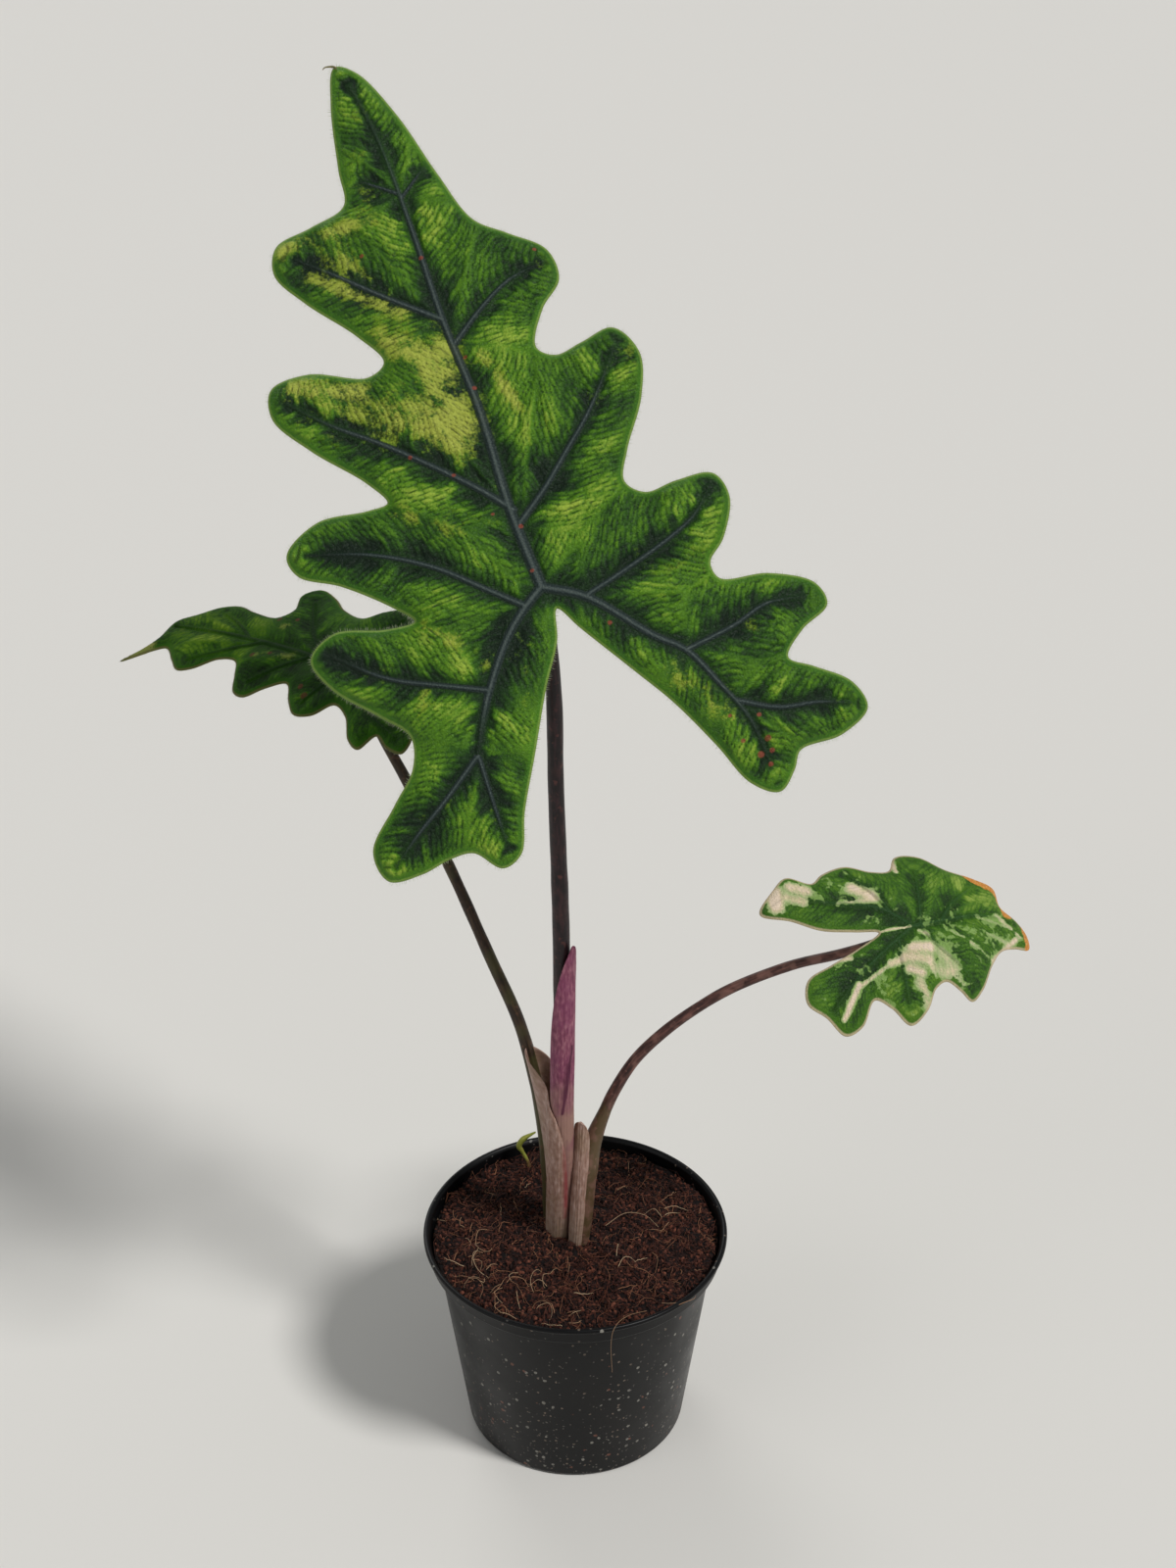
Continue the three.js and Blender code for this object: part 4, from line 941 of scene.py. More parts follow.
RIGHT_LOOK = LARGE_LOOK | {
    "name": "cream-variegated leaf skin",
    "vein_pitch": 1.9,
    "pucker_length": 2.6,
    "ripple": 0.14,
    "fold": 0.16,
    "dark": 0.33,
    "light": 0.55,
    "dark_reach": 4.0,
    "greens": [(0.0, "#142c10"), (0.3, "#25480e"), (0.5, "#3a6611"), (0.7, "#557f1c"), (1.0, "#8faa45")],
    "patch_noise": (0.1, 0.34, 0.5, 0.1),
    "patch_grain": 0.5,
    "patch": (0.42, 0.62, 1.0),
    "patch_colours": [(0.42, "#86a857"), (0.64, "#b3bf88"), (0.86, "#dfcfa8"), (1.0, "#efd9c0")],
    "groove": 0.25,
    "band": 0.1,
    "rim_colour": "#cdb995",
    "rib": 0.35,
    "rib_colours": [(0.0, "#2c5a30"), (0.5, "#2c5424"), (1.0, "#244a16")],
    "dying_colours": [(0.35, "#c4702c"), (0.5, "#d98f3c"), (0.65, "#e2ab5c")],
}
print("leaf looks:", [look["name"] for look in (LARGE_LOOK, LEFT_LOOK, RIGHT_LOOK)])

# %% [markdown]
# ## The three blades
# Each blade gets as fine a mesh as its puckers need: two or three points over each.

# %% The three blades
BLADES = [
    ("large_blade", LARGE_LEAF, LARGE_LOOK, "leaf_green", "large_leaf_blade", 0.62, 1.3),
    ("left_blade", LEFT_LEAF, LEFT_LOOK, "leaf_green", "left_leaf_blade", 0.6, 1.2),
    ("right_blade", RIGHT_LEAF, RIGHT_LOOK, "leaf_variegated", "right_leaf_blade", 0.5, 1.0),
]
rims = {}
for name, leaf, look, slot, node, top_spacing, under_spacing in BLADES:
    mesh, rim, outward = blade_mesh(name, leaf, look, top_spacing, under_spacing)
    finish_piece(add_object(name, mesh), slot, node, material=leaf_skin(look))
    rims[name] = (rim, outward)

# %% [markdown]
# ## Trees of geometry nodes
# Stalks, fibres, hairs and crumbs are small shapes repeated along a line or over a surface,
# which is what Geometry Nodes are for. A tree gets named inputs for its sizes, ends by making
# its instances real and setting the material, and is then run once: the result is a plain mesh.


# %% Trees of geometry nodes
def new_tree(name, inputs):
    """A tree with named inputs, each with its kind and default, and the sockets they give."""
    tree = bpy.data.node_groups.new(name, "GeometryNodeTree")
    tree.interface.new_socket("Geometry", in_out="INPUT", socket_type="NodeSocketGeometry")
    for label, (kind, value) in inputs.items():
        socket = tree.interface.new_socket(label, in_out="INPUT", socket_type=f"NodeSocket{kind}")
        socket.default_value = value
    tree.interface.new_socket("Material", in_out="INPUT", socket_type="NodeSocketMaterial")
    tree.interface.new_socket("Geometry", in_out="OUTPUT", socket_type="NodeSocketGeometry")
    return tree, add_node(tree, "NodeGroupInput").outputs


def end_tree(tree, given, shape):
    real = add_node(tree, "GeometryNodeRealizeInstances", {"Geometry": shape})
    inputs = {"Geometry": real.outputs["Geometry"], "Material": given["Material"]}
    painted = add_node(tree, "GeometryNodeSetMaterial", inputs)
    add_node(tree, "NodeGroupOutput", {"Geometry": painted.outputs["Geometry"]})


def run_tree(name, mesh, tree, values):
    """An object whose mesh is what the tree makes of the given mesh."""
    piece = add_object(name, mesh)
    modifier = piece.modifiers.new(tree.name, "NODES")
    modifier.node_group = tree
    for item in tree.interface.items_tree:
        if item.in_out == "INPUT" and item.name in values:
            modifier[item.identifier] = values[item.name]
    graph = bpy.context.evaluated_depsgraph_get()
    made = bpy.data.meshes.new_from_object(piece.evaluated_get(graph), depsgraph=graph)
    piece.modifiers.clear()
    piece.data = made
    return piece

# %% [markdown]
# ## A tube along lines
# A stalk is a round tube whose thickness changes along its length. Curve to Mesh sweeps a ring
# along each line and scales it by the line's `thickness`. The ring keeps its own place as an
# attribute, so a skin can run its streaks lengthwise. Where a stalk meets a blade it is cut
# at a slant: the points beyond a plane are slid back onto it.

# %% A tube along lines
tube_tree, given = new_tree(
    "tube along lines",
    {
        "Sides": ("Int", 12),
        "Cut place": ("Vector", (0, 0, 9)),
        "Cut normal": ("Vector", (0, 0, 1)),
        "Cut way": ("Vector", (0, 0, 1)),
    },
)
add = partial(add_node, tube_tree)
lines = add("GeometryNodeMeshToCurve", {"Mesh": given["Geometry"]})
ring = add("GeometryNodeCurvePrimitiveCircle", {"Resolution": given["Sides"], "Radius": 1.0})
here = add("GeometryNodeInputPosition")
ring = {"Geometry": ring.outputs["Curve"], "Name": "across", "Value": here}
ring = add("GeometryNodeStoreNamedAttribute", ring, data_type="FLOAT_VECTOR")
thickness = add("GeometryNodeInputNamedAttribute", {"Name": "thickness"}, data_type="FLOAT")
tube = {"Curve": lines, "Profile Curve": ring, "Scale": thickness, "Fill Caps": True}
tube = add("GeometryNodeCurveToMesh", tube)
# Points beyond the cut slide back along the stalk, on to the plane of the cut
reach = add("ShaderNodeVectorMath", {0: here, 1: given["Cut place"]}, operation="SUBTRACT")
beyond = add("ShaderNodeVectorMath", {0: reach, 1: given["Cut normal"]}, operation="DOT_PRODUCT")
slant = {0: given["Cut way"], 1: given["Cut normal"]}
slant = add("ShaderNodeVectorMath", slant, operation="DOT_PRODUCT")
steps = add("ShaderNodeMath", {0: beyond.outputs["Value"], 1: slant.outputs["Value"]}, operation="DIVIDE")
back = add("ShaderNodeMath", {0: steps, 1: -1.0}, operation="MULTIPLY")
slide = add("ShaderNodeVectorMath", {0: given["Cut way"], "Scale": back}, operation="SCALE")
is_beyond = add("FunctionNodeCompare", {0: beyond.outputs["Value"], 1: 0.0}, operation="GREATER_THAN")
tube = {"Geometry": tube, "Selection": is_beyond.outputs["Result"], "Offset": slide}
tube = add("GeometryNodeSetPosition", tube)
end_tree(tube_tree, given, tube)


def line_mesh(name, lines, thicknesses, **extra):
    """A mesh of loose edges from lines of points in millimetres, with a thickness on each."""
    points = np.concatenate(lines)
    edges, start = [], 0
    for line in lines:
        edges += [(i, i + 1) for i in range(start, start + len(line) - 1)]
        start += len(line)
    walks = [np.r_[0, np.cumsum(np.linalg.norm(np.diff(line, axis=0), axis=1))] for line in lines]
    thickness = np.concatenate(thicknesses) * MM
    extra["along"] = np.concatenate(walks)
    return mesh_from(name, points * MM, [], edges, thickness=thickness, **extra)

# %% [markdown]
# ## The skin of stalks and sheaths
# A stalk of this plant is smooth and half glossy, dark brown-purple with fine lengthwise
# streaks and rust-red flecks. The sheaths at its foot are drier, paler and more papery. Both
# use one skin, because both are streaked along their length: noise is stretched along the
# stalk, a second, finer noise lays the flecks over it, and a stored mark adds single streaks.


# %% The skin of stalks and sheaths
def stalk_skin(look):
    """A streaked skin. look holds its colours, from the darkest streak to the palest."""
    material, add, shade = new_material(look["name"])
    across = add("ShaderNodeAttribute", attribute_name="across").outputs["Vector"]
    along = add("ShaderNodeAttribute", attribute_name="along").outputs["Fac"]
    mark = add("ShaderNodeAttribute", attribute_name="mark").outputs["Fac"]
    place = add("ShaderNodeTexCoord").outputs["Object"]
    apart = add("ShaderNodeSeparateXYZ", {"Vector": across})
    stretched = add("ShaderNodeMath", {0: along, 1: look["stretch"]}, operation="MULTIPLY")
    wrapped = {"X": apart.outputs["X"], "Y": apart.outputs["Y"], "Z": stretched}
    wrapped = add("ShaderNodeCombineXYZ", wrapped)
    streak = add("ShaderNodeTexNoise", {"Vector": wrapped, "Scale": look["scale"], "Detail": 4.0})
    fleck = add("ShaderNodeTexNoise", {"Vector": place, "Scale": look["fleck_scale"], "Detail": 3.0})
    cloud = add("ShaderNodeTexNoise", {"Vector": place, "Scale": look["cloud_scale"], "Detail": 2.0})
    height = add("ShaderNodeSeparateXYZ", {"Vector": place}).outputs["Z"]
    # The foot's colour ends at a height that wanders by 15 mm up and down
    wander = add("ShaderNodeMath", {0: cloud, 1: 0.03, 2: -0.015}, operation="MULTIPLY_ADD")
    level = add("ShaderNodeMath", {0: height, 1: wander}, operation="ADD")
    colour = add("ShaderNodeValToRGB", {"Fac": streak}, stops=look["streaks"])
    for field, (start, end, strength), tint in [
        (level, look["foot"], look["foot_colour"]),
        (cloud, look["clouds"], look["cloud_colour"]),
        (fleck, look["flecks"], look["fleck_colour"]),
        (mark, (0.3, 0.8, 0.85), look["mark_colour"]),
    ]:
        mask = {"Value": field, "From Min": start, "From Max": end, "To Max": strength}
        mask = add("ShaderNodeMapRange", mask, interpolation_type="SMOOTHSTEP")
        colour = add("ShaderNodeMix", {"Factor": mask, 6: colour, 7: linear(tint)}, data_type="RGBA")
    relief = add("ShaderNodeMath", {0: streak, 1: fleck}, operation="ADD")
    bump = add("ShaderNodeBump", {"Height": relief, "Distance": look["relief"] * MM, "Strength": 1.0})
    shade({"Base Color": colour, "Normal": bump, "Roughness": look["roughness"]})
    shade({"IOR": LEAF_IOR, "Specular IOR Level": 0.35})
    return material


print("a stalk's skin reads its way round, its way along and its marks")

# %% [markdown]
# ## The colours of stalks and sheaths
# The three stalks are dark, olive and mottled pink. Scales are in features per metre: 420 gives
# flecks about 2.4 mm apart, 90 gives clouds about a centimetre across. "foot" says between which
# heights, in metres, the colour of the foot begins, and how strong it gets.

# %% The colours of stalks and sheaths
DARK_STALK = {
    "name": "smooth dark stalk skin",
    "streaks": [(0.3, "#0f090b"), (0.5, "#1f1215"), (0.72, "#372023")],
    "scale": 2.2,
    "stretch": 0.07,
    "fleck_scale": 420.0,
    "flecks": (0.58, 0.74, 0.7),
    "fleck_colour": "#5a322d",
    "cloud_scale": 90.0,
    "clouds": (0.55, 0.7, 0.25),
    "cloud_colour": "#4a2c2a",
    "foot": (0.14, 0.09, 0.6),
    "foot_colour": "#6d4a40",
    "mark_colour": "#8b3a3e",
    "relief": 0.15,
    "roughness": 0.42,
}
OLIVE_STALK = DARK_STALK | {
    "name": "smooth olive stalk skin",
    "streaks": [(0.3, "#1c140f"), (0.5, "#33251a"), (0.72, "#4a3826")],
    "fleck_colour": "#664536",
    "cloud_colour": "#4c4a28",
    "clouds": (0.45, 0.65, 0.5),
    "foot": (0.17, 0.13, 0.8),
    "foot_colour": "#4b4428",
}
PINK_STALK = DARK_STALK | {
    "name": "mottled pink stalk skin",
    "streaks": [(0.3, "#2a1a18"), (0.5, "#4a2f2a"), (0.72, "#6f4a42")],
    "fleck_colour": "#8a6258",
    "clouds": (0.48, 0.62, 0.45),
    "cloud_scale": 160.0,
    "cloud_colour": "#866056",
    "foot": (0.149, 0.138, 0.9),
    "foot_colour": "#55452d",
}
BEIGE_SHEATH = DARK_STALK | {
    "name": "dry papery sheath",
    "streaks": [(0.3, "#866455"), (0.5, "#9f7f71"), (0.72, "#b89b90")],
    "scale": 4.0,
    "clouds": (0.45, 0.7, 0.5),
    "cloud_colour": "#8a7658",
    "foot": (0.11, 0.085, 0.6),
    "foot_colour": "#a8917c",
    "flecks": (0.5, 0.75, 0.45),
    "fleck_colour": "#6f4d40",
    "relief": 0.2,
    "roughness": 0.55,
}
PINK_SCALE = BEIGE_SHEATH | {
    "name": "papery pink scale leaf",
    "streaks": [(0.32, "#6b3049"), (0.5, "#85475d"), (0.7, "#a26a78")],
    "clouds": (0.45, 0.7, 0.4),
    "cloud_colour": "#783059",
    "foot": (0.172, 0.14, 0.92),
    "foot_colour": "#997769",
    "flecks": (0.55, 0.8, 0.3),
    "fleck_colour": "#5f2a42",
    "mark_colour": "#4a1030",
}
STALK_LOOKS = (DARK_STALK, OLIVE_STALK, PINK_STALK, BEIGE_SHEATH, PINK_SCALE)
print("stalk looks:", [look["name"] for look in STALK_LOOKS])

# %% [markdown]
# ## The stalks
# The stalks rise from the crown of the plant and bend under their blades' weight. Each follows
# the route of its solid, with the slight swellings that a grown stalk has.

# %% The stalks
LARGE_STALK = {
    "route": [
        (-6.4, 3.5, 76), (-5.2, -1, 117), (-4.8, -5.5, 160), (-4.6, -12, 231),
        (-6, -18, 298), (-6.5, -22, 337), (-10, -25, 376),
    ],
    "radii": [(76, 3.4), (117, 3.4), (160, 3.3), (231, 3.1), (300, 2.8), (376, 2.6)],
}
LEFT_STALK = {
    "route": [
        (-9.3, 12, 76), (-10, 10.5, 112), (-13.8, 10, 145), (-21, 13.5, 177), (-32, 20, 203),
        (-46, 28, 236), (-62, 36, 270), (-72, 40, 290), (-80, 45, 311),
    ],
    "radii": [(76, 3.6), (112, 3.7), (150, 2.6), (200, 2.2), (311, 1.9)],
}
RIGHT_STALK = {
    "route": [
        (1, -3.6, 76), (3.2, -3.4, 100), (4.8, -1.4, 121), (7.5, 3.5, 131.4), (11, 6.5, 139.9),
        (15, 9, 148.6), (23, 12.5, 161.1), (34, 14.5, 172.6), (47, 16, 183), (60, 16, 192),
        (82, 14, 203.5), (100, 12, 210), (117, 10.5, 218), (125, 10, 226),
    ],
    "radii": [(76, 3), (100, 3.9), (121, 4.2), (133, 3.3), (142, 2.3), (200, 1.9), (226, 1.7)],
}
CUT_DEPTH = 1.3  # how far below the blade's sheet the stalk is cut
STALK_STEP = 1.6
STALK_SIDES = 28
SWELLING = 0.035
SWELLING_LENGTH = 9

for name, stalk, leaf, look, node, seed in [
    ("large_stalk", LARGE_STALK, LARGE_LEAF, DARK_STALK, "large_leaf_stalk", 11),
    ("left_stalk", LEFT_STALK, LEFT_LEAF, OLIVE_STALK, "left_leaf_stalk", 10),
    ("right_stalk", RIGHT_STALK, RIGHT_LEAF, PINK_STALK, "right_leaf_stalk", 11),
]:
    line = smooth_line(stalk["route"], STALK_STEP)
    heights, radii = zip(*stalk["radii"])
    walked = np.arange(len(line)) * STALK_STEP
    swelling = 1 + SWELLING * soft_noise(walked, 0 * walked, SWELLING_LENGTH, seed)
    normal = turn_of(leaf)[:, 2]
    way = (line[-1] - line[-3]) / np.linalg.norm(line[-1] - line[-3])
    values = {
        "Sides": STALK_SIDES,
        "Cut place": tuple((np.array(leaf["place"]) - normal * CUT_DEPTH) * MM),
        "Cut normal": tuple(normal),
        "Cut way": tuple(way),
    }
    mesh = line_mesh(name, [line], [np.interp(line[:, 2], heights, radii) * swelling])
    piece = run_tree(name, mesh, tube_tree, values)
    finish_piece(piece, "stalk_skin", node, material=stalk_skin(look))

# %% [markdown]
# ## The shell of a sheath
# Each leaf unfolds out of the foot of the one before, which leaves a sheath wrapped round the
# next stalk. A sheath is a shell: a grid of points round a centre line, once for the outer face
# and once for the inner one, joined at the edges.

# %% The shell of a sheath
SHEATH_FOOT = 77
SKIN_ROUND = 5  # millimetres, the radius at which marks are measured round a sheath


def points_at(route, height):
    """The points of a route at some heights."""
    line = smooth_line(route, 1.0)
    return np.stack([np.interp(height, line[:, 2], axis) for axis in line.T], axis=-1)


def shell_mesh(name, outer, inner, angle, height, marks):
    """A closed shell in metres between two grids of points in millimetres, foot row first."""
    rows, columns = outer.shape[0] - 1, outer.shape[1] - 1
    both = np.concatenate([outer, inner[:, ::-1]], axis=1)
    count = 2 * (columns + 1)
    faces = []
    for i in range(rows):
        for j in range(count):
            k = (j + 1) % count
            faces.append((i * count + j, i * count + k, (i + 1) * count + k, (i + 1) * count + j))
    for j in range(columns):
        across = (j, count - 1 - j, count - 2 - j, j + 1)
        faces.append(across)
        faces.append(tuple(rows * count + corner for corner in reversed(across)))
    turn, level = (np.concatenate([grid, grid[:, ::-1]], axis=1).ravel() for grid in (angle, height))
    ring_place = np.column_stack([np.cos(turn), np.sin(turn), 0 * turn])
    strokes = [
        ((math.radians(a) * SKIN_ROUND, low), (math.radians(b) * SKIN_ROUND, high), width, strength)
        for (a, low), (b, high), width, strength in marks
    ]
    mark = stroke_field(strokes, turn * SKIN_ROUND, level)
    return mesh_from(name, both.reshape(-1, 3) * MM, faces, across=ring_place, along=level, mark=mark)


print("the sheaths start", SHEATH_FOOT, "mm up, inside the potting mix")

# %% [markdown]
# ## The sheath of the small leaf and the scale leaf
# The small leaf's sheath is a curved shell that narrows to a rounded ear. The large stalk wears
# a scale leaf, pink and papery, which once wrapped the whole bud. Both follow one rule: a shell
# that faces one way at its foot and another at its ear, spans less and less of the stalk, and
# stands off from it towards the ear.

# %% The sheath of the small leaf and the scale leaf
RIGHT_SHEATH = {
    "route": [(0.5, -3.7, 76), (2.1, -3.6, 100), (3.2, -2.2, 121), (3.8, -1, 132), (4.4, 0.2, 144)],
    "radii": [(76, 3), (100, 3.9), (121, 4.1), (133, 4), (144, 3.8)],
    "inset": -0.9,
    "top": 143,
    "ear": 9,
    "facing": (-50, -32),
    "spread": 74,
    "thickness": 1.5,
    "flare_from": 0.8,
    "stand": 0.8,
    "marks": [],
}
SCALE_LEAF = {
    "route": LARGE_STALK["route"],
    "radii": LARGE_STALK["radii"],
    "inset": 0.45,
    "top": 230,
    "ear": 3,
    "facing": (-4, 58),
    "spread": 118,
    "thickness": 0.9,
    "flare_from": 0.5,
    "stand": 1,
    "marks": [
        ((52, 184), (2, 152), 0.6, 1.1),
        ((30, 176), (12, 160), 1.8, 0.66),
        ((24, 138), (32, 92), 1.3, 0.5),
    ],
}
SHEATH_ROWS = 120
SHEATH_COLUMNS = 60
BLUNT_EAR = 0.004  # keeps the ear's end from closing to a point


def sheath_mesh(name, sheath):
    """A shell round a stalk, from its foot to its ear."""
    rise = np.linspace(0, 1, SHEATH_ROWS + 1)[:, None]
    share = np.linspace(-1, 1, SHEATH_COLUMNS + 1)[None, :]
    line = smooth_line(sheath["route"], 1.0)
    ways = np.gradient(line, axis=0)
    ways /= np.linalg.norm(ways, axis=1)[:, None]
    height = SHEATH_FOOT + (sheath["top"] - SHEATH_FOOT) * rise[:, 0]
    centre, along = (
        np.column_stack([np.interp(height, line[:, 2], axis) for axis in values.T])
        for values in (line, ways)
    )
    front = np.array([0, -1, 0]) + along * along[:, 1:2]
    front /= np.linalg.norm(front, axis=1)[:, None]
    side = np.cross(along, front)
    foot_facing, ear_facing = np.radians(sheath["facing"])
    facing = foot_facing + (ear_facing - foot_facing) * rise**2
    narrowing = np.sqrt(np.maximum(1 - rise ** sheath["ear"], BLUNT_EAR))
    reach = math.radians(sheath["spread"]) * narrowing
    angle = facing + reach * share
    flare = np.maximum((rise - sheath["flare_from"]) / (1 - sheath["flare_from"]), 0)
    curl = 0.5 * flare * smooth_step(0.75, 1.0, np.abs(share))
    heights, radii = zip(*sheath["radii"])
    radius = np.interp(height, heights, radii)[:, None]
    inner = radius + sheath["inset"] + sheath["stand"] * flare + curl
    thin_edge = 0.3 + 0.7 * np.sqrt(1 - np.abs(share) ** 6)
    thickness = sheath["thickness"] * (1 - 0.35 * rise) * thin_edge
    veins = 0.07 * np.cos(angle * 26) + 0.12 * soft_noise(angle * 9, rise * 14, 1.0, 31)
    outer = inner + thickness + veins * smooth_step(1.0, 0.85, np.abs(share))
    spokes = front[:, None] * np.cos(angle)[..., None] + side[:, None] * np.sin(angle)[..., None]
    grids = [centre[:, None] + spokes * (radius + 0 * share)[..., None] for radius in (outer, inner)]
    return shell_mesh(name, *grids, angle, height[:, None] + 0 * share, sheath["marks"])


for name, sheath, look, slot, node in [
    ("right_sheath", RIGHT_SHEATH, BEIGE_SHEATH, "stalk_skin", "right_leaf_stalk"),
    ("scale_leaf", SCALE_LEAF, PINK_SCALE, "cataphyll_skin", "cataphyll"),
]:
    mesh = sheath_mesh(name, sheath)
    finish_piece(add_object(name, mesh), slot, node, material=stalk_skin(look))

# %% [markdown]
# ## The wings of the left sheath
# The left leaf's stalk is grooved at its foot, and the edges of the groove widen into two thin
# wings that clasp the large stalk and its scale leaf. Round that column, the shell is close at
# the front, where the wings end, and far out at the back, where it joins its own stalk. The top
# edge falls in a long slant across the front.

# %% The wings of the left sheath
WING_TOPS = [  # degrees round the column from the front, and the height there
    (-250, 92), (-230, 116), (-210, 136), (-192, 150), (-174, 160), (-160, 165.5), (-146, 168.5),
    (-132, 168.5), (-118, 165.5), (-104, 161.5), (-90, 157.5), (-62, 153), (-30, 149), (-12, 144),
    (4, 138), (18, 129), (27, 112), (33, 80),
]
WING_CLASP = 4.95  # millimetres from the column's centre to the wings' inner face
WING_TURN = 27  # degrees over which the wings leave the column
WING_THICKNESS = 0.8
STEM_DEPTH = 1.5  # how far the wings' inner face lies inside their own stalk
WING_MARKS = [((12, 136), (19, 98), 1.5, 0.62), ((18, 122), (20, 104), 0.6, 0.8)]
WING_ROWS = 110
WING_COLUMNS = 130


def wing_mesh(name):
    """The wings of the left sheath round the large stalk."""
    turns, tops = np.array(WING_TOPS, float).T
    angle = np.linspace(turns[0], turns[-1], WING_COLUMNS + 1)[None, :]
    rise = np.linspace(0, 1, WING_ROWS + 1)[:, None]
    top = np.interp(angle, turns, tops)
    height = SHEATH_FOOT + (top - SHEATH_FOOT) * rise
    centre = points_at(LARGE_STALK["route"], height)
    stem = points_at(LEFT_STALK["route"], height) - centre
    distance = np.hypot(stem[..., 0], stem[..., 1])
    stem_turn = np.degrees(np.arctan2(stem[..., 0], -stem[..., 1]))
    away = (angle - stem_turn + 180) % 360 - 180
    reach = distance - STEM_DEPTH - WING_CLASP
    inner = WING_CLASP + reach * np.exp(-((away / WING_TURN) ** 2))
    turn = np.radians(angle) + 0 * height
    edge = np.minimum(top - height, 3) / 3
    side = np.minimum(angle - turns[0], turns[-1] - angle) / 12
    thin = np.sqrt(np.clip(np.minimum(edge, side), 0, 1))
    ripple = 0.06 * np.cos(turn * 30) + 0.1 * soft_noise(turn * 9, height / 6, 1.0, 33)
    outer = inner + WING_THICKNESS * (0.3 + 0.7 * thin) + ripple * thin
    spokes = np.stack([np.sin(turn), -np.cos(turn), 0 * turn], axis=-1)
    grids = [centre + spokes * radius[..., None] for radius in (outer, inner)]
    return shell_mesh(name, *grids, turn, height, WING_MARKS)


wings = add_object("left_sheath", wing_mesh("left_sheath"))
finish_piece(wings, "stalk_skin", "left_leaf_stalk", material=stalk_skin(BEIGE_SHEATH))

# %% [markdown]
# ## The young shoot
# An offset sends up a thin curved shoot at the back of the rim, soft and yellow-green.

# %% The young shoot
YOUNG_SHOOT = {
    "route": [
        (-19.5, 42, 78), (-19.5, 43, 87), (-22, 44, 92.5),
        (-23.4, 44, 95.5), (-21.5, 44, 99), (-16.5, 44, 102.5),
    ],
    "radii": [(78, 0.8), (92, 0.7), (95.5, 1.2), (99, 1.2), (102.5, 0.35)],
}
SHOOT_GREEN = DARK_STALK | {
    "name": "soft young shoot",
    "streaks": [(0.3, "#6f7a2a"), (0.5, "#93983c"), (0.72, "#b5b05a")],
    "fleck_colour": "#8a7a3a",
    "cloud_colour": "#a3a348",
    "foot": (0.095, 0.088, 0.9),
    "foot_colour": "#7a5a3c",
}
line = smooth_line(YOUNG_SHOOT["route"], 0.5)
heights, radii = zip(*YOUNG_SHOOT["radii"])
mesh = line_mesh("young_shoot", [line], [np.interp(line[:, 2], heights, radii)])
piece = run_tree("young_shoot", mesh, tube_tree, {"Sides": 14})
finish_piece(piece, "shoot_skin", "offset_shoot", material=stalk_skin(SHOOT_GREEN))

# %% [markdown]
# ## The hairs on the margin
# The margin of the large leaf carries short stiff hairs, about a millimetre long. They are
# drawn twice as thick as they are, or they would vanish in the picture. Each is a three-sided
# cone on a point of the rim, leaning out of the leaf with a little chance. Three sides are enough
# for a hair, and there are thousands.

# %% The hairs on the margin
hair_tree, given = new_tree(
    "hairs on points",
    {
        "Length": ("Float", 0.001),
        "Width": ("Float", 0.0001),
        "Chance": ("Float", 0.4),
        "Seed": ("Int", 3),
    },
)
add = partial(add_node, hair_tree)
roots = add("GeometryNodeMeshToPoints", {"Mesh": given["Geometry"]})
cone = {"Vertices": 3, "Radius Top": 0.0, "Radius Bottom": given["Width"], "Depth": given["Length"]}
cone = add("GeometryNodeMeshCone", cone)
outward = add("GeometryNodeInputNamedAttribute", {"Name": "outward"}, data_type="FLOAT_VECTOR")
low = add("ShaderNodeMath", {0: given["Chance"], 1: -1.0}, operation="MULTIPLY")
lean = {0: low, 1: given["Chance"], "Seed": given["Seed"]}
lean = add("FunctionNodeRandomValue", lean, data_type="FLOAT_VECTOR")
way = add("ShaderNodeVectorMath", {0: outward, 1: lean})
turn = add("FunctionNodeAlignRotationToVector", {"Vector": way}, axis="Z")
length = {2: 0.5, 3: 1.2, "Seed": given["Seed"]}
length = add("FunctionNodeRandomValue", length, data_type="FLOAT")
hairs = {"Points": roots, "Instance": cone, "Rotation": turn, "Scale": length}
hairs = add("GeometryNodeInstanceOnPoints", hairs)
end_tree(hair_tree, given, hairs)

hair, add, shade = new_material("pale stiff leaf hair")
place = add("ShaderNodeTexCoord").outputs["Object"]
grain = add("ShaderNodeTexNoise", {"Vector": place, "Scale": 300.0})
tint = add("ShaderNodeValToRGB", {"Fac": grain}, stops=[(0.3, "#8d9f66"), (0.7, "#dfe3c4")])
shade({"Base Color": tint, "Roughness": 0.5})

HAIR_WIDTH = 0.1
for name, blade, length in [("large_hairs", "large_blade", 1.25), ("left_hairs", "left_blade", 0.7)]:
    rim, outward = rims[blade]
    values = {"Length": length * MM, "Width": HAIR_WIDTH * MM, "Material": hair}
    piece = run_tree(name, mesh_from(name, rim, [], outward=outward), hair_tree, values)
    finish_piece(piece, "leaf_green")

# %% [markdown]
# ## The dry tip
# A long leaf ends in a thread of tissue that dries first and curls into a hook. It is the same
# tube as a stalk, a few millimetres long, and starts inside the tip of the blade.

# %% The dry tip of the large leaf
TIP_HOOK = [(0.4, -1.5), (-0.2, 0.1), (-1.7, 0.9), (-3.2, 1.2), (-4.1, 0.7)]  # from the leaf's tip
TIP_SINK = 0.5  # from the upper face to the middle of the blade
TIP_STEP = 0.3

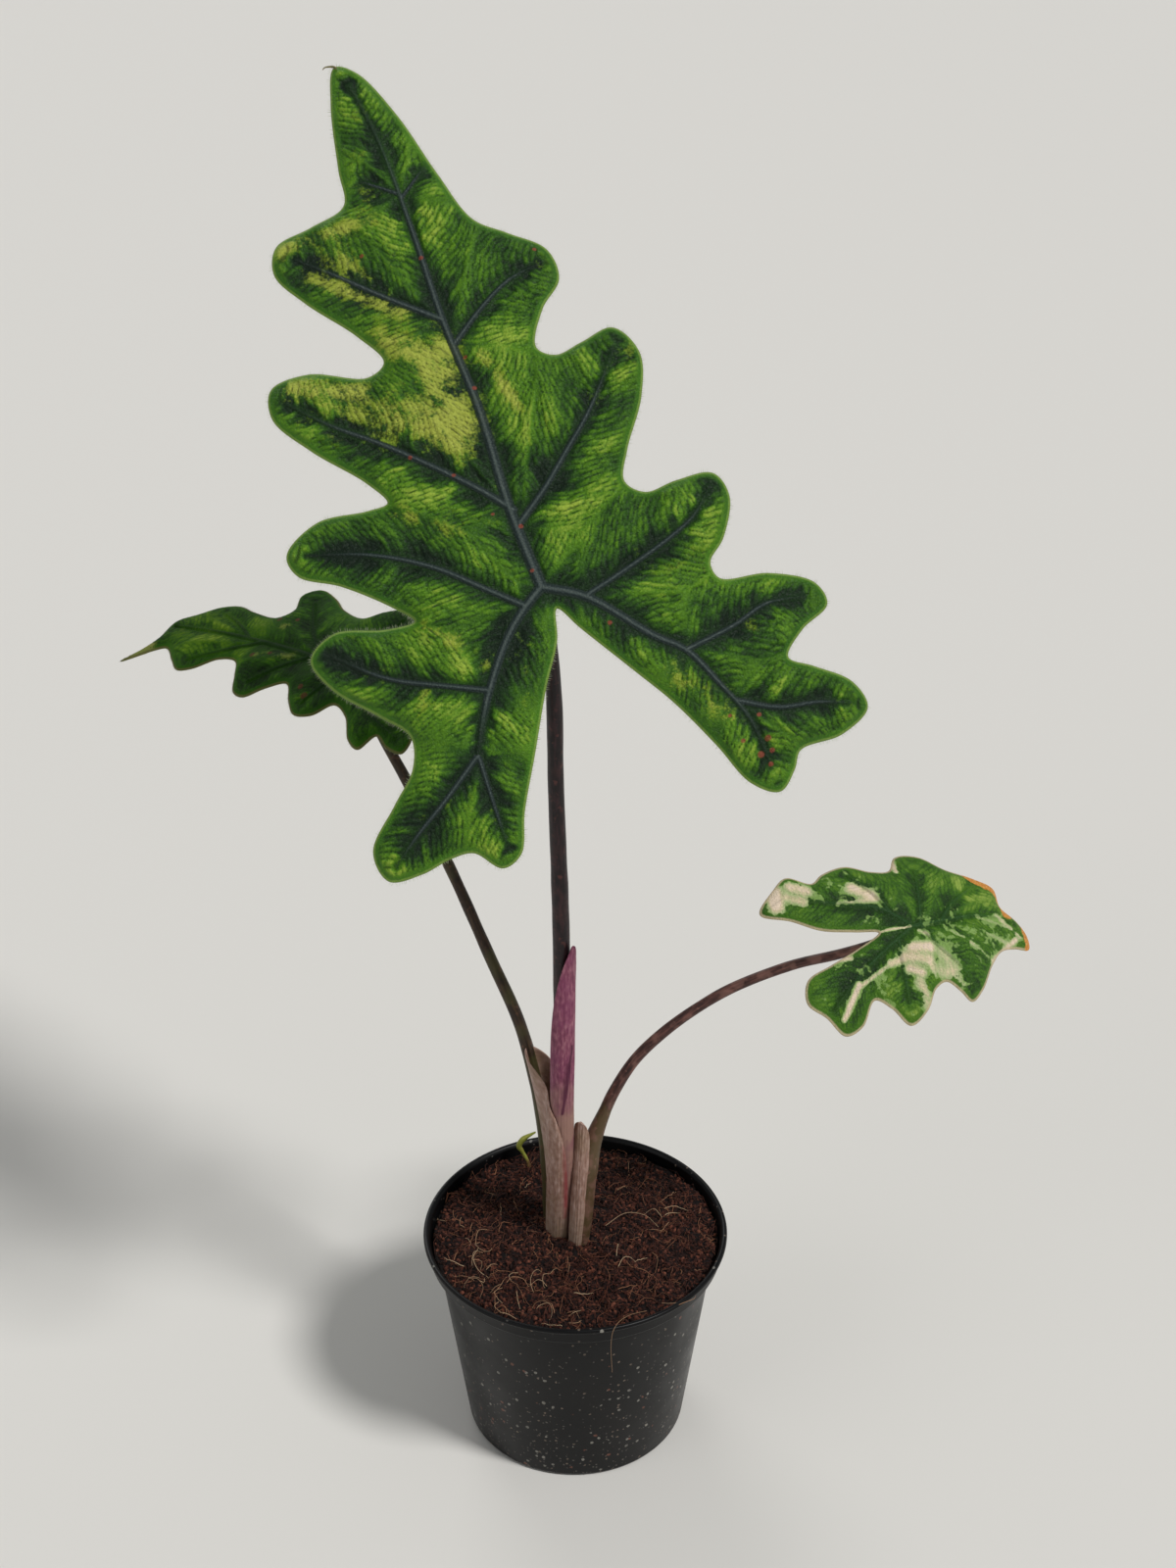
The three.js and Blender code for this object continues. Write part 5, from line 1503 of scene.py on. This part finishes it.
tip = max((corner for lobe in LARGE_LEAF["margin"] for corner in lobe), key=lambda corner: corner[1])
flat = np.array([(tip[0] + x, tip[1] + y) for x, y in TIP_HOOK])
bend = LARGE_LEAF["bend"]
drop = bend["tip"] * (flat[:, 1] / bend["tip_length"]) ** 2 + TIP_SINK
hook = smooth_line(place_points(LARGE_LEAF, np.column_stack([flat, -drop])) / MM, TIP_STEP)

dry_tip, add, shade = new_material("dried leaf tip")
place = add("ShaderNodeTexCoord").outputs["Object"]
grain = add("ShaderNodeTexNoise", {"Vector": place, "Scale": 900.0})
tint = add("ShaderNodeValToRGB", {"Fac": grain}, stops=[(0.35, "#5d5a2c"), (0.65, "#8a7b4c")])
shade({"Base Color": tint, "Roughness": 0.6})
mesh = line_mesh("leaf_tip", [hook], [np.linspace(0.55, 0.16, len(hook))])
piece = run_tree("leaf_tip", mesh, tube_tree, {"Sides": 8, "Material": dry_tip})
finish_piece(piece, "leaf_green")

# %% [markdown]
# ## The pot's shape
# A nursery pot is injection-moulded from black polypropylene: a thin tapered wall, a collar to
# stack by, and a rolled lip. Its profile is turned round the axis, with every corner rounded as
# moulding leaves it. The potting mix is turned in the same way, with a lumpy top.

# %% The pot's shape
POT_PROFILE = [  # radius and height, from the underside's middle to the inside's
    (0, 0), (9, 0), (9.6, 2), (36, 2), (37, 0), (43, 0), (44, 1.4), (54.6, 81), (55.2, 81.8),
    (57.4, 82), (58, 82.6), (58.4, 87.8), (59.5, 88), (60, 88.8), (59.6, 89.8), (58.8, 90),
    (58.2, 89.8), (57.3, 88.6), (56.9, 83.8), (54.2, 83), (53.3, 82), (43.1, 5.4), (41.5, 3.4),
    (0, 3.4),
]
POT_SIDES = 192
CORNER_REACH = 0.5  # millimetres from a corner at which its rounding starts
CORNER_SHARE = 0.42  # of an edge that a rounding may take
CORNER_STEPS = 3


def rounded(profile):
    """The profile with each of its corners turned into a small curve."""
    p = np.array(profile, float)
    made = [p[:1]]
    for before, corner, after in zip(p, p[1:], p[2:]):
        start, end = (
            corner + (other - corner) * min(CORNER_REACH / np.linalg.norm(other - corner), CORNER_SHARE)
            for other in (before, after)
        )
        t = np.linspace(0, 1, CORNER_STEPS + 1)[:, None]
        made.append(start * (1 - t) ** 2 + corner * 2 * t * (1 - t) + end * t**2)
    return np.concatenate([*made, p[-1:]])


def turned_mesh(name, profile, sides, level=None):
    """A profile of radius and height, from axis to axis, turned round. level sets free heights."""
    turns = np.arange(sides) * math.tau / sides
    points, rings = [], []
    for radius, height in profile:
        corners = sides if radius > 0 else 1
        rings.append([len(points) + (j % corners) for j in range(sides)])
        for turn in turns[:corners]:
            points.append((radius * math.cos(turn), radius * math.sin(turn), height))
    faces = []
    for below, above in zip(rings, rings[1:]):
        for j in range(sides):
            k = (j + 1) % sides
            faces.append(list(dict.fromkeys([below[j], below[k], above[k], above[j]])))
    points = np.array(points)
    if level:
        free = np.isnan(points[:, 2])
        points[free, 2] = level(points[free, 0], points[free, 1])
    return mesh_from(name, points * MM, faces)


pot = add_object("nursery_pot", turned_mesh("nursery_pot", rounded(POT_PROFILE), POT_SIDES))
print("the pot is", 2 * max(radius for radius, _ in POT_PROFILE), "mm across its lip")

# %% [markdown]
# ## The drain holes
# Water leaves through eight holes in the base and four notches in the foot ring. All are cut in
# one go: their cylinders and blocks make one mesh, which a Boolean modifier takes off the pot.

# %% The drain holes
DRAIN_HOLES = 8
DRAIN_HOLE = {"segments": 32, "radius1": 0.0032, "radius2": 0.0032, "depth": 0.012}
DRAIN_CIRCLE = 0.025
FOOT_NOTCHES = 4
NOTCH_SIZE = (0.015, 0.005, 0.002)
NOTCH_PLACE = (0.0405, 0, 0.0002)

cutters = bmesh.new()
for i in range(DRAIN_HOLES):
    turn = (i + 0.5) / DRAIN_HOLES * 2 * math.pi
    place = Matrix.Translation((DRAIN_CIRCLE * math.cos(turn), DRAIN_CIRCLE * math.sin(turn), 0.002))
    bmesh.ops.create_cone(cutters, cap_ends=True, matrix=place, **DRAIN_HOLE)
for i in range(FOOT_NOTCHES):
    turn = Matrix.Rotation((i + 0.5) / FOOT_NOTCHES * 2 * math.pi, 4, "Z")
    place = turn @ Matrix.Translation(NOTCH_PLACE) @ Matrix.Diagonal((*NOTCH_SIZE, 1))
    bmesh.ops.create_cube(cutters, size=1, matrix=place)
cutter_mesh = bpy.data.meshes.new("drain cutters")
cutters.to_mesh(cutter_mesh)
cutters.free()
cutter = add_object("drain cutters", cutter_mesh)
cut = pot.modifiers.new("drain holes", "BOOLEAN")
cut.object = cutter
graph = bpy.context.evaluated_depsgraph_get()
drained = bpy.data.meshes.new_from_object(pot.evaluated_get(graph))
pot.modifiers.clear()
pot.data = drained
bpy.data.objects.remove(cutter)
print("the pot has", len(drained.polygons), "faces with its holes")

# %% [markdown]
# ## The pot's plastic
# Black polypropylene comes out of the mould satin, with faint flow marks. A used pot carries a
# film of dust, and specks of lime and dirt that water leaves, more of them low on the wall. The
# specks are the cells of Voronoi patterns: a cell gets one only where its own chance is high
# enough, and noise bends the pattern, so that no speck is round.

# %% The pot's plastic
PLASTIC_IOR = 1.49
SPECKS = [  # spacing in millimetres, size as a share of it, rarity from 0 to 1, colour
    (3.6, 0.2, 0.84, "#a7a399"),
    (2.2, 0.22, 0.86, "#8a7a6c"),
    (4.6, 0.16, 0.9, "#8a5a4a"),
    (1.3, 0.3, 0.9, "#6f6a64"),
]
SPECK_WARP = 0.0011

plastic, add, shade = new_material("moulded black polypropylene")
place = add("ShaderNodeTexCoord").outputs["Object"]
height = add("ShaderNodeSeparateXYZ", {"Vector": place}).outputs["Z"]
flow = add("ShaderNodeTexNoise", {"Vector": place, "Scale": 60.0, "Detail": 5.0})
dust = add("ShaderNodeTexNoise", {"Vector": place, "Scale": 30.0, "Detail": 8.0})
jagged = add("ShaderNodeTexNoise", {"Vector": place, "Scale": 700.0, "Detail": 3.0})
astray = {0: jagged.outputs["Color"], 1: (SPECK_WARP, SPECK_WARP, SPECK_WARP), 2: place}
astray = add("ShaderNodeVectorMath", astray, operation="MULTIPLY_ADD")
film = add("ShaderNodeMapRange", {"Value": dust, "From Min": 0.5, "From Max": 0.85, "To Max": 0.18})
colour = {"Factor": film, 6: linear("#0a0a0b"), 7: linear("#3f3a35")}
colour = add("ShaderNodeMix", colour, data_type="RGBA")
for spacing, size, rarity, tint in SPECKS:
    cells = add("ShaderNodeTexVoronoi", {"Vector": astray, "Scale": 1000 / spacing})
    inside = add("ShaderNodeMath", {0: cells, 1: size}, operation="LESS_THAN")
    chance = add("ShaderNodeSeparateXYZ", {"Vector": cells.outputs["Color"]})
    needed = {"Value": height, "From Max": 0.085, "To Min": rarity - 0.2, "To Max": rarity + 0.07}
    needed = add("ShaderNodeMapRange", needed)
    chosen = add("ShaderNodeMath", {0: chance, 1: needed}, operation="GREATER_THAN")
    share = add("ShaderNodeMath", {0: inside, 1: chosen}, operation="MULTIPLY")
    share = add("ShaderNodeMath", {0: share, 1: jagged}, operation="MULTIPLY")
    colour = add("ShaderNodeMix", {"Factor": share, 6: colour, 7: linear(tint)}, data_type="RGBA")
gloss = {"Value": flow, "From Min": 0.3, "From Max": 0.7, "To Min": 0.3, "To Max": 0.46}
gloss = add("ShaderNodeMapRange", gloss)
bump = add("ShaderNodeBump", {"Height": flow, "Distance": 0.1 * MM, "Strength": 0.6})
shade({"Base Color": colour, "Roughness": gloss, "Normal": bump})
shade({"IOR": PLASTIC_IOR, "Specular IOR Level": 0.2})
finish_piece(pot, "pot_plastic", "pot", material=plastic)

# %% [markdown]
# ## The potting mix
# The pot is filled with coir: the chopped husk of coconuts, dark with water. Seen close, it is
# crumbs and curly fibres, so it is built from both. A closed, lumpy body fills the pot, crumbs
# lie over it, and fibres curl over the crumbs.

# %% The body of the potting mix
MIX_HEIGHT = 85
MIX_DOME = 1.2
MIX_LUMP = 0.9
MIX_REACH = 58
MIX_SIDES = [(0, 3.75), (20, 3.75), (40.7, 3.75), (42.3, 6.8), (52.9, 82.1), (53.7, 83.7), (56.4, 84.5)]
FREE = float("nan")  # a height that mix_level sets


def mix_level(x, y):
    """The height of the mix, in millimetres."""
    lump = np.sin(x / 3.1 + np.sin(y / 5)) * np.cos(y / 3.7) + 0.5 * np.sin((x + y) / 2.3)
    fine = 0.5 * soft_noise(x, y, 2.4, 21) + 0.3 * soft_noise(x, y, 1.1, 22)
    dome = MIX_DOME * (1 - (x**2 + y**2) / MIX_REACH**2)
    return MIX_HEIGHT + dome + MIX_LUMP * lump + fine


rings = [(radius, FREE) for radius in [*np.arange(55.8, 0, -0.9), 0]]
mix = turned_mesh("potting_mix_body", MIX_SIDES + rings, 220, mix_level)

# Wet coir is dull. Its hollows are painted nearly black, as painted shade: the noise that gives it
# bumps half a millimetre deep also darkens it where it is low.
coir, add, shade = new_material("damp coconut coir")
place = add("ShaderNodeTexCoord").outputs["Object"]
lightness = add("ShaderNodeAttribute", attribute_name="shade").outputs["Fac"]
grit = add("ShaderNodeTexNoise", {"Vector": place, "Scale": 700.0, "Detail": 5.0})
# painted shade: the colour darkens where the bumps are low
tone = add("ShaderNodeMath", {0: lightness, 1: grit}, operation="MULTIPLY")
stops = [(0.0, "#0e0605"), (0.2, "#26120d"), (0.4, "#4a261b"), (0.62, "#7d4a38")]
colour = add("ShaderNodeValToRGB", {"Fac": tone}, stops=stops)
bump = add("ShaderNodeBump", {"Height": grit, "Distance": 0.5 * MM, "Strength": 0.8})
shade({"Base Color": colour, "Normal": bump, "Roughness": 0.85, "Specular IOR Level": 0.25})
finish_piece(add_object("potting_mix_body", mix), "coir_mix", "potting_mix", material=coir)

# %% [markdown]
# ## Crumbs over the mix
# The crumbs are small balls, thrown over the surface at random, each with its own size, turn and
# lightness, then dented by noise so that no two are alike. Eighty faces are enough for a crumb.

# %% Crumbs over the mix
ANY_TURN = 6.28
CRUMB_DENT = 0.0016

crumb_tree, given = new_tree(
    "crumbs over a surface",
    {
        "Density": ("Float", 600000.0),
        "Smallest": ("Float", 0.0003),
        "Largest": ("Float", 0.0012),
        "Seed": ("Int", 5),
    },
)
add = partial(add_node, crumb_tree)
seed = given["Seed"]
spread = {"Mesh": given["Geometry"], "Density": given["Density"], "Seed": seed}
spread = add("GeometryNodeDistributePointsOnFaces", spread)
ball = add("GeometryNodeMeshIcoSphere", {"Radius": 1.0, "Subdivisions": 1})
turn = {0: (0, 0, 0), 1: (ANY_TURN, ANY_TURN, ANY_TURN), "Seed": seed}
turn = add("FunctionNodeRandomValue", turn, data_type="FLOAT_VECTOR")
size = {0: given["Smallest"], 1: given["Largest"], "Seed": seed}
size = add("FunctionNodeRandomValue", size, data_type="FLOAT_VECTOR")
crumbs = {"Points": spread.outputs["Points"], "Instance": ball, "Rotation": turn, "Scale": size}
crumbs = add("GeometryNodeInstanceOnPoints", crumbs)
chance = add("FunctionNodeRandomValue", {2: 0.1, 3: 1.0, "Seed": seed}, data_type="FLOAT")
crumbs = {"Geometry": crumbs, "Name": "shade", "Value": chance}
crumbs = add("GeometryNodeStoreNamedAttribute", crumbs, data_type="FLOAT", domain="INSTANCE")
crumbs = add("GeometryNodeRealizeInstances", {"Geometry": crumbs})
knobs = add("ShaderNodeTexNoise", {"Vector": add("GeometryNodeInputPosition"), "Scale": 900.0})
knobs = {0: knobs.outputs["Color"], 1: (0.5, 0.5, 0.5)}
knobs = add("ShaderNodeVectorMath", knobs, operation="SUBTRACT")
shift = add("ShaderNodeVectorMath", {0: knobs, "Scale": CRUMB_DENT}, operation="SCALE")
crumbs = add("GeometryNodeSetPosition", {"Geometry": crumbs, "Offset": shift})
end_tree(crumb_tree, given, crumbs)

rings = [(radius, FREE) for radius in [*np.arange(55.5, 1, -1.5), 0]]
field = turned_mesh("coir_crumbs", rings, 120, mix_level)
piece = run_tree("coir_crumbs", field, crumb_tree, {"Material": coir})
finish_piece(piece, "coir_mix")

# %% [markdown]
# ## Fibres over the mix
# Coir fibres are stiff, curly hairs up to a centimetre or two long. Each is a walk of a few steps
# that keeps turning one way, laid on the mix with a small arch. Most are dark, a few pale.

# %% Fibres over the mix
FIBRES = 1500
FIBRE_REACH = 54
FIBRE_LIMIT = 56


def curly_heading(chance, steps, curl, jitter):
    """The way that a curly fibre heads at each of its steps."""
    start = chance.uniform(0, math.tau)
    drift = chance.normal(0, curl)
    return start + np.cumsum(chance.normal(drift, jitter, steps))


def drawn_in(x, y, limit):
    """The points of a line, drawn in to a circle where they leave it."""
    too_far = np.maximum(np.hypot(x, y) / limit, 1)
    return x / too_far, y / too_far


def fibre_lines(count, seed):
    """Curly lines that lie on the mix, with their thickness and shade."""
    chance = np.random.default_rng(seed)
    lines, thicknesses, shades = [], [], []
    for _ in range(count):
        steps = chance.integers(6, 12)
        heading = curly_heading(chance, steps, 0.25, 0.3)
        step = chance.uniform(0.5, 1.6)
        radius = FIBRE_REACH * math.sqrt(chance.uniform(0, 1))
        turn = chance.uniform(0, math.tau)
        x = radius * math.cos(turn) + np.cumsum(step * np.cos(heading))
        y = radius * math.sin(turn) + np.cumsum(step * np.sin(heading))
        x, y = drawn_in(x, y, FIBRE_LIMIT)
        arch = np.sin(np.linspace(0, math.pi, steps)) * chance.exponential(0.8)
        z = mix_level(x, y) + 0.5 + arch + 0.3 * chance.normal(0, 1, steps)
        lines.append(np.column_stack([x, y, z]))
        thicknesses.append(np.linspace(1, 0.5, steps) * chance.uniform(0.08, 0.2))
        shades.append(np.full(steps, chance.beta(1.3, 3.5)))
    return lines, thicknesses, shades


fibres = fibre_lines(FIBRES, 17)
print(len(fibres[0]), "fibres, the longest with", max(len(line) for line in fibres[0]), "points")

# %% [markdown]
# ## The pale threads
# A few pale threads curl up where the mix was disturbed, most of them at the front left. The
# longest lies on the mix and hangs over the rim at the front. These are given one by one, because
# the eye finds them at once, and short curls in loose groups surround them.

# %% The pale threads
LONG_THREADS = [
    [
        (27, -46, 87.6), (24, -48.5, 89), (20, -52, 90.6), (16, -57, 91.4),
        (14.2, -60.6, 90.4), (13.6, -61.2, 86), (13.7, -60.8, 78), (14.1, -60, 70),
    ],
    [(33, -41, 87), (36, -43.5, 89), (40, -43, 89.4), (42, -39, 87.6)],
    [(37, -45, 88.2), (41, -44.5, 90.2), (45, -41, 89), (46, -37, 87)],
    [(-2, -52, 87), (1, -53, 88), (2.5, -51, 87.4)],
    [(-38, -10, 87), (-39.5, -18, 89), (-37, -24, 88), (-33, -27, 87)],
    [(-41, -27, 87), (-37, -30, 89), (-35, -34, 88.5), (-36, -38, 87)],
    [(12, 4, 87), (20, 8, 90), (28, 7, 89.5), (33, 3, 87)],
    [(30, -12, 87), (32, -18, 89), (31, -24, 87)],
]
CURL_GROUPS = [  # the middle of each group, and how many curls lie round it
    (-38, -22, 8), (-30, -31, 8), (-18, -36, 7), (-47, -4, 5), (18, -20, 4), (36, 10, 4), (-6, -46, 5),
]
CURL_SPREAD = 6
CURL_LIMIT = 53


def thread_lines(seed):
    """The long threads, and short pale curls in loose groups."""
    chance = np.random.default_rng(seed)
    lines = [smooth_line(thread, 1.2) for thread in LONG_THREADS]
    for x, y, count in CURL_GROUPS:
        for _ in range(count):
            steps = chance.integers(7, 15)
            heading = curly_heading(chance, steps, 0.18, 0.15)
            px = x + chance.normal(0, CURL_SPREAD) + np.cumsum(np.cos(heading))
            py = y + chance.normal(0, CURL_SPREAD) + np.cumsum(np.sin(heading))
            px, py = drawn_in(px, py, CURL_LIMIT)
            arch = np.sin(np.linspace(0, math.pi, steps)) * chance.uniform(0.4, 2.4)
            lines.append(np.column_stack([px, py, mix_level(px, py) + 0.8 + arch]))
    thicknesses = [np.linspace(1, 0.55, len(line)) * chance.uniform(0.1, 0.17) for line in lines]
    shades = [np.full(len(line), chance.uniform(0.65, 1.0)) for line in lines]
    return lines, thicknesses, shades


# A dry fibre is a bundle of cell walls, paler and a little shinier than wet coir
fibre, add, shade = new_material("dry coconut fibre")
lightness = add("ShaderNodeAttribute", attribute_name="shade").outputs["Fac"]
stops = [(0.0, "#251210"), (0.35, "#5a3022"), (0.7, "#9a6c4e"), (1.0, "#d9bd98")]
colour = add("ShaderNodeValToRGB", {"Fac": lightness}, stops=stops)
shade({"Base Color": colour, "Roughness": 0.7, "Specular IOR Level": 0.3})
lines, thicknesses, shades = (a + b for a, b in zip(fibres, thread_lines(29)))
mesh = line_mesh("coir_fibres", lines, thicknesses, shade=np.concatenate(shades))
piece = run_tree("coir_fibres", mesh, tube_tree, {"Sides": 3, "Material": fibre})
finish_piece(piece, "coir_mix")

# %% [markdown]
# ## The rootstock
# The rootstock stands inside the mix and is never seen, so its solid stays as it is. It gets
# the corky, rough bark of a rhizome, for whoever takes the pot apart.

# %% The rootstock
root, add, shade = new_material("corky root bark")
place = add("ShaderNodeTexCoord").outputs["Object"]
bark = add("ShaderNodeTexNoise", {"Vector": place, "Scale": 250.0, "Detail": 6.0})
stops = [(0.3, "#4a3020"), (0.55, "#7a5639"), (0.8, "#a5825c")]
colour = add("ShaderNodeValToRGB", {"Fac": bark}, stops=stops)
bump = add("ShaderNodeBump", {"Height": bark, "Distance": 0.8 * MM, "Strength": 0.8})
shade({"Base Color": colour, "Normal": bump, "Roughness": 0.85})
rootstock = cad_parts["rootstock"]
for material_slot in rootstock.material_slots:
    material_slot.material = root
print("the rootstock keeps its solid and gets", len(rootstock.material_slots), "material")

# %% [markdown]
# ## The studio
# A pale floor and three soft lamps, all so far off that the floor is lit evenly. The strongest
# stands high at the front right, where the large leaf keeps its shade off the right one. A weak
# broad one from the left opens the shadows, and one from behind draws the edges.

# %% The studio
REACH = 30  # metres, so that the floor fills the view
corners = [(-REACH, -REACH, 0), (REACH, -REACH, 0), (REACH, REACH, 0), (-REACH, REACH, 0)]
floor = add_object("floor", mesh_from("floor", corners, [(0, 1, 2, 3)]))
paper, add, shade = new_material("matt studio paper")
shade({"Base Color": linear("#dfdcd6"), "Roughness": 0.9})
floor.data.materials.append(paper)

PLANT_MIDDLE = (0, 0, 0.25)
LAMPS = [  # name, place, width in degrees, strength
    ("key lamp", (1.15, -0.8, 2.0), 12, 2.2),
    ("fill lamp", (-1.9, -1.2, 1.6), 40, 0.3),
    ("edge lamp", (-0.8, 2.0, 1.9), 30, 0.5),
]
for name, place, spread, strength in LAMPS:
    data = bpy.data.lights.new(name, "SUN")
    data.angle = math.radians(spread)
    data.energy = strength
    lamp = bpy.data.objects.new(name, data)
    lamp.location = place
    lamp.rotation_euler = (Vector(PLANT_MIDDLE) - Vector(place)).to_track_quat("-Z", "Y").to_euler()
    bpy.context.scene.collection.objects.link(lamp)
world = bpy.data.worlds.new("studio air")
world.use_nodes = True
air = {"Color": linear("#dfe3e6"), "Strength": 0.3}
feed(world.node_tree, world.node_tree.nodes["Background"], air)
bpy.context.scene.world = world
print(len(LAMPS), "lamps")
